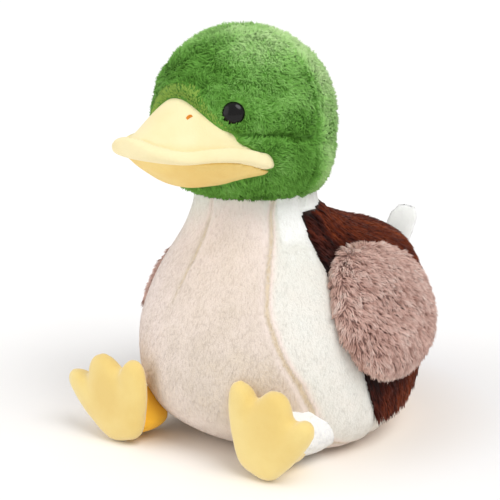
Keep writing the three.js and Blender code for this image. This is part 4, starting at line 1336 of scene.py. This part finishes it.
def cream_tints_and_shading(points, normals, seed, paler):
    rng = np.random.default_rng(seed)
    # painted shade: darker and warmer where the breast faces forward
    front = np.clip(normals @ unit(BREAST_FACES), 0, 1) ** 3
    flank = near_flank(points)
    # painted shade in the seams
    seams = near(from_breast_seams(points), 1.3 * MM) * seam_shows(points)
    # painted light: paler at the collar, where the head throws its shade
    collar = near(points[:, 2] - 188 * MM, 30 * MM)
    # painted shade: darker where the skin faces down
    low = np.clip(-normals[:, 2], 0, 1)
    tint = CREAM_TINT + 0.07 * wave(points, 0.012, seed) + 0.05 * (rng.random(len(points)) - 0.5)
    tint = tint - FRONT_PAINTED_SHADE * front * (1 - flank) - SEAM_PAINTED_SHADE * seams - LOW_PAINTED_SHADE * low
    return np.clip(tint + COLLAR_PAINTED_LIGHT * collar + FLANK_PALER * flank + paler, 0, 1)


# %% White pile
SHORT_PER_MM2, SHORT_LENGTH, SHORT_WIDTH = 1.1, 2 * MM, 1.4 * MM


def short_pile(name, piece, seed, body_name, finish, part=None, flow=DOWN, paler=0.0):
    roots, normals = roots_on(piece, SHORT_PER_MM2, seed, part)
    tint = cream_tints_and_shading(roots, normals, seed, paler)
    fibres(
        name, roots, normals, np.tile(flow, (len(roots), 1)), tint, body_name, finish, seed,
        length=SHORT_LENGTH, width=SHORT_WIDTH, lean=0.93, curl=0.07, lock=(0.08, 0.08, 0.01, 0.02),
        spread=0.05, bent=False,
    )


def off_the_floor(points):
    return points[:, 2] > 2 * MM


paint(body, cream_tints_and_shading(points_of(body), normals_of(body), 11, 0))
short_pile("breast_pile", body, 11, "trunk", cream_pile, white_part)
short_pile("tail_pile", tail, 13, "trunk", white_pile, flow=-DOWN, paler=0.35)
for side, thigh in thighs.items():
    short_pile(f"thigh_pile_{side}", thigh, 15, f"leg_{side}", white_pile, off_the_floor, paler=0.5)

# %% [markdown]
# ## Green head
# The head's pile is longer and tangled: locks stand up in many directions. It is pale on the crown, where
# light is painted in, and paler on the back panel, and painted shade darkens it in the seams, round the eyes,
# at the bottom of the head and over the bill. A smooth olive roll of shorter pile frames the root of the
# bill.
# The flow of the fibres is a sum of simple pushes: a slow swirl, away from the eyes, away from the bill,
# and off the seams.

# %% Green finishes
OLIVE = [(0, rgb(.50, .66, .26)), (0.5, rgb(.65, .79, .38)), (1, rgb(.80, .90, .54))]
green_pile = fibre_finish("green pile", GREEN, (0.78, 0.82, 0.72))
olive_pile = fibre_finish("olive pile", OLIVE, (0.82, 0.84, 0.74))


# %% Painted shade and painted light on the green, and the paler back panel
# noise_vector starts from the clock until a seed is set, and with one its swirls are the same each run
SWIRL_SEED = 7
noise.seed_set(SWIRL_SEED)


def swirl(points, size, seed):
    shift = Vector((seed, seed * 2.0, seed * 3.0))
    return np.array([noise.noise_vector(Vector(p) / size + shift) for p in points])


# middle of a patch on the head, its width and how much paler its pile is: the pale crown is painted light,
# the darker patches painted shade
LIGHT_AND_SHADE_PATCHES = [
    ((8, -62, 96), 28, -0.52), ((63, -23, 33), 28, -0.14),
    ((24, -30, 114), 42, 0.44), ((52, -40, 78), 26, -0.1),
]
GREEN_TINT, BACK_PANEL_PALER = 0.42, 0.368


def green_tints_and_shading(roots, normals, painted_shade, seed):
    rng = np.random.default_rng(seed)
    local = in_head(roots)
    tint = GREEN_TINT + 0.2 * wave(roots, 0.02, seed) + 0.12 * (rng.random(len(roots)) - 0.5)
    for middle, width, paler in LIGHT_AND_SHADE_PATCHES:
        tint += paler * near(np.linalg.norm(local - np.array(middle) * MM, axis=1), width * MM)
    # the back panel is paler; painted light: the green is a little paler where the skin faces up
    tint += BACK_PANEL_PALER * np.clip((local[:, 1] - HEAD_SEAM) / (12 * MM), 0, 1) + 0.06 * normals[:, 2]
    return np.clip(tint - painted_shade, 0.02, 1)


# %% Green roots, clear of the bill, the eyes and the seams
# painted shade: the green backing is darker than its pile, so the gaps between fibres look deep
HEAD_PER_MM2, PAINTED_GAP_SHADE = 1.15, 0.28
paint(head, green_tints_and_shading(points_of(head), normals_of(head), PAINTED_GAP_SHADE, 23))
eyes_at = [eye_seat(1)[0], eye_seat(-1)[0]]
roots, normals = roots_on(head, HEAD_PER_MM2, 21, lambda points: in_head(points)[:, 2] > 5 * MM)
gap_up, out_up = gap_to(roots, upper_bill)
gap_low, out_low = gap_to(roots, lower_bill)
bill_gap = np.minimum(gap_up, gap_low)
from_bill = np.where((gap_up < gap_low)[:, None], out_up, out_low)
eye_off = np.min([np.linalg.norm(roots - at, axis=1) for at in eyes_at], axis=0)
seam_off = np.minimum(from_head_back_seam(roots), from_cheek_seam(roots))
clear = (bill_gap > 0.4 * MM) & (eye_off > 7.9 * MM) & (seam_off > 1.1 * MM)
roots, normals, bill_gap, from_bill, eye_off, seam_off = (
    a[clear] for a in (roots, normals, bill_gap, from_bill, eye_off, seam_off)
)
height = in_head(roots)[:, 2]
print(len(roots), "roots on the head")

# %% Which way the green pile lies
nearest_eye = np.argmin([np.linalg.norm(roots - at, axis=1) for at in eyes_at], axis=0)
from_eye = unit(roots - np.array(eyes_at)[nearest_eye])
over_eye = np.clip(from_eye @ unit(np.array([-0.5, -0.45, -0.75])), 0, 1) * near(eye_off - 8 * MM, 3 * MM)
flow = swirl(roots, 0.025, 24) * 1.2 + np.array([0, 0, -0.3])
flow += from_eye * (1.5 * near(eye_off, 11 * MM) - 4 * over_eye)[:, None]
flow += from_bill * 3 * near(bill_gap, 8 * MM)[:, None]
flow[:, 2] += 2.5 * near(height - 5 * MM, 7 * MM)
flow[:, 1] += np.sign(in_head(roots)[:, 1] - HEAD_SEAM) * 1.5 * near(from_head_back_seam(roots), 3 * MM)
flow[:, 2] += np.sign(height - CHEEK_SEAM) * 1.5 * near(from_cheek_seam(roots), 3 * MM)

# %% Green pile and the olive roll
GREEN_LENGTH, OLIVE_LENGTH = 5.2 * MM, 2.6 * MM
# painted shade in the seams, round the eyes and at the bottom of the head
painted_shade = 0.35 * near(seam_off, 1.8 * MM) + 0.3 * near(eye_off, 10.5 * MM) + 0.08 * near(height, 20 * MM)
tint = green_tints_and_shading(roots, normals, painted_shade, 23)
reach = GREEN_LENGTH * (1 - 0.45 * near(seam_off, 2.5 * MM)) * (1 - 0.4 * near(height, 14 * MM))
reach = reach * (1 - 0.4 * near(eye_off, 11 * MM))
rng = np.random.default_rng(22)
roll = (bill_gap < roll_width(roots) + (rng.random(len(roots)) - 0.5) * MM) & (height > 46 * MM)
fibres(
    "head_pile", roots[~roll], normals[~roll], flow[~roll], tint[~roll], "head",
    green_pile, 25, length=reach[~roll], width=1.15 * MM,
    lean=0.6, curl=0.42, lock=(0.08, 0.36, 0.1, 0.12), spread=0.3,
)
olive_tint = tint[roll] * 0.35 + 0.28
fibres(
    "olive_pile", roots[roll], normals[roll], from_bill[roll], olive_tint, "head",
    olive_pile, 26, length=OLIVE_LENGTH, width=0.75 * MM,
    lean=0.6, curl=0.1, lock=(0.1, 0.1, 0.03, 0.05), spread=0.3,
)

# %% [markdown]
# ## Brown back
# The back's pile is the longest one, glossy, and combed down from the neck, so its tips lie over the white
# in front. Long streaks of lighter and darker brown follow the combing: the noise behind them is stretched
# along it.

# %% Brown roots
BROWN = [
    (0, rgb(.14, .04, .03)), (0.35, rgb(.34, .12, .06)), (0.7, rgb(.54, .25, .12)), (1, rgb(.74, .41, .22)),
]
BROWN_TINT, BROWN_PER_MM2, BROWN_LENGTH = 0.58, 0.57, 10 * MM
brown_pile = fibre_finish("brown pile", BROWN, (0.6, 0.5, 0.46), rough=0.5)


def brown_part(points):
    within = (points[:, 2] > BROWN_LOW) * (below_collar(points) > 0)
    return within * (points[:, 1] > back_line(points[:, 2]) - 1 * MM)


roots, normals = roots_on(body, BROWN_PER_MM2, 31, brown_part)
roots = roots + normals * BACK_LIFT
print(len(roots), "roots on the back")

# %% Brown pile, combed down from the neck
rng = np.random.default_rng(32)
away = roots - np.array([NECK[0], NECK[1] - 30 * MM, 200 * MM])
flow = unit(away) + swirl(roots, 0.03, 33) * 0.3 + np.array([0, 0, -0.25])
streak = np.stack([np.arctan2(away[:, 0], away[:, 1]) * 9, away[:, 2] * 6, away[:, 0] * 3], 1)
# painted shade: the brown is darker next to the wings and along the white border
shade = near(gap_to(roots, wings["left"])[0], 14 * MM) + near(gap_to(roots, wings["right"])[0], 14 * MM)
edge = near(roots[:, 1] - back_line(roots[:, 2]), 18 * MM)
brown_tint = BROWN_TINT + 0.35 * wave(streak, 1.0, 34) + 0.2 * (rng.random(len(roots)) - 0.5)
brown_tint = brown_tint - 0.35 * shade - 0.3 * edge
fibres(
    "back_pile", roots, normals, flow, brown_tint, "trunk", brown_pile, 35,
    length=BROWN_LENGTH, width=1.12 * MM, lean=0.93, curl=0.12, lock=(0.06, 0.4, 0.15, 0.15), spread=0.45,
)

# %% [markdown]
# ## Taupe wings
# The wings are shaggy: their pile hangs down in locks that stand apart, with darker gaps between them. Strong
# locks, a strong painted shade at each lock's rim and a strong change of tint from lock to lock make that,
# with the same fibres as on the head.

# %% Taupe pile
TAUPE = [
    (0, rgb(.60, .42, .37)), (0.3, rgb(.81, .65, .60)), (0.65, rgb(.95, .81, .76)), (1, rgb(1, .93, .89)),
]
TAUPE_TINT, WING_PER_MM2, WING_LENGTH = 0.76, 0.92, 6.2 * MM
taupe_pile = fibre_finish("taupe pile", TAUPE, (0.7, 0.6, 0.57))
for side, wing in wings.items():
    roots, normals = roots_on(wing, WING_PER_MM2, 41)
    rng = np.random.default_rng(42)
    flow = swirl(roots, 0.02, 43) * 0.6 + np.array([0, 0.05, -1.0])
    taupe_tint = TAUPE_TINT + 0.24 * wave(roots, 0.02, 44) + 0.2 * (rng.random(len(roots)) - 0.5)
    fibres(
        f"wing_pile_{side}", roots, normals, flow, taupe_tint, f"wing_{side}", taupe_pile, 45,
        length=WING_LENGTH, width=0.8 * MM, lean=0.72, curl=0.26, lock=(0.08, 0.52, 0.34, 0.24), spread=0.45,
    )
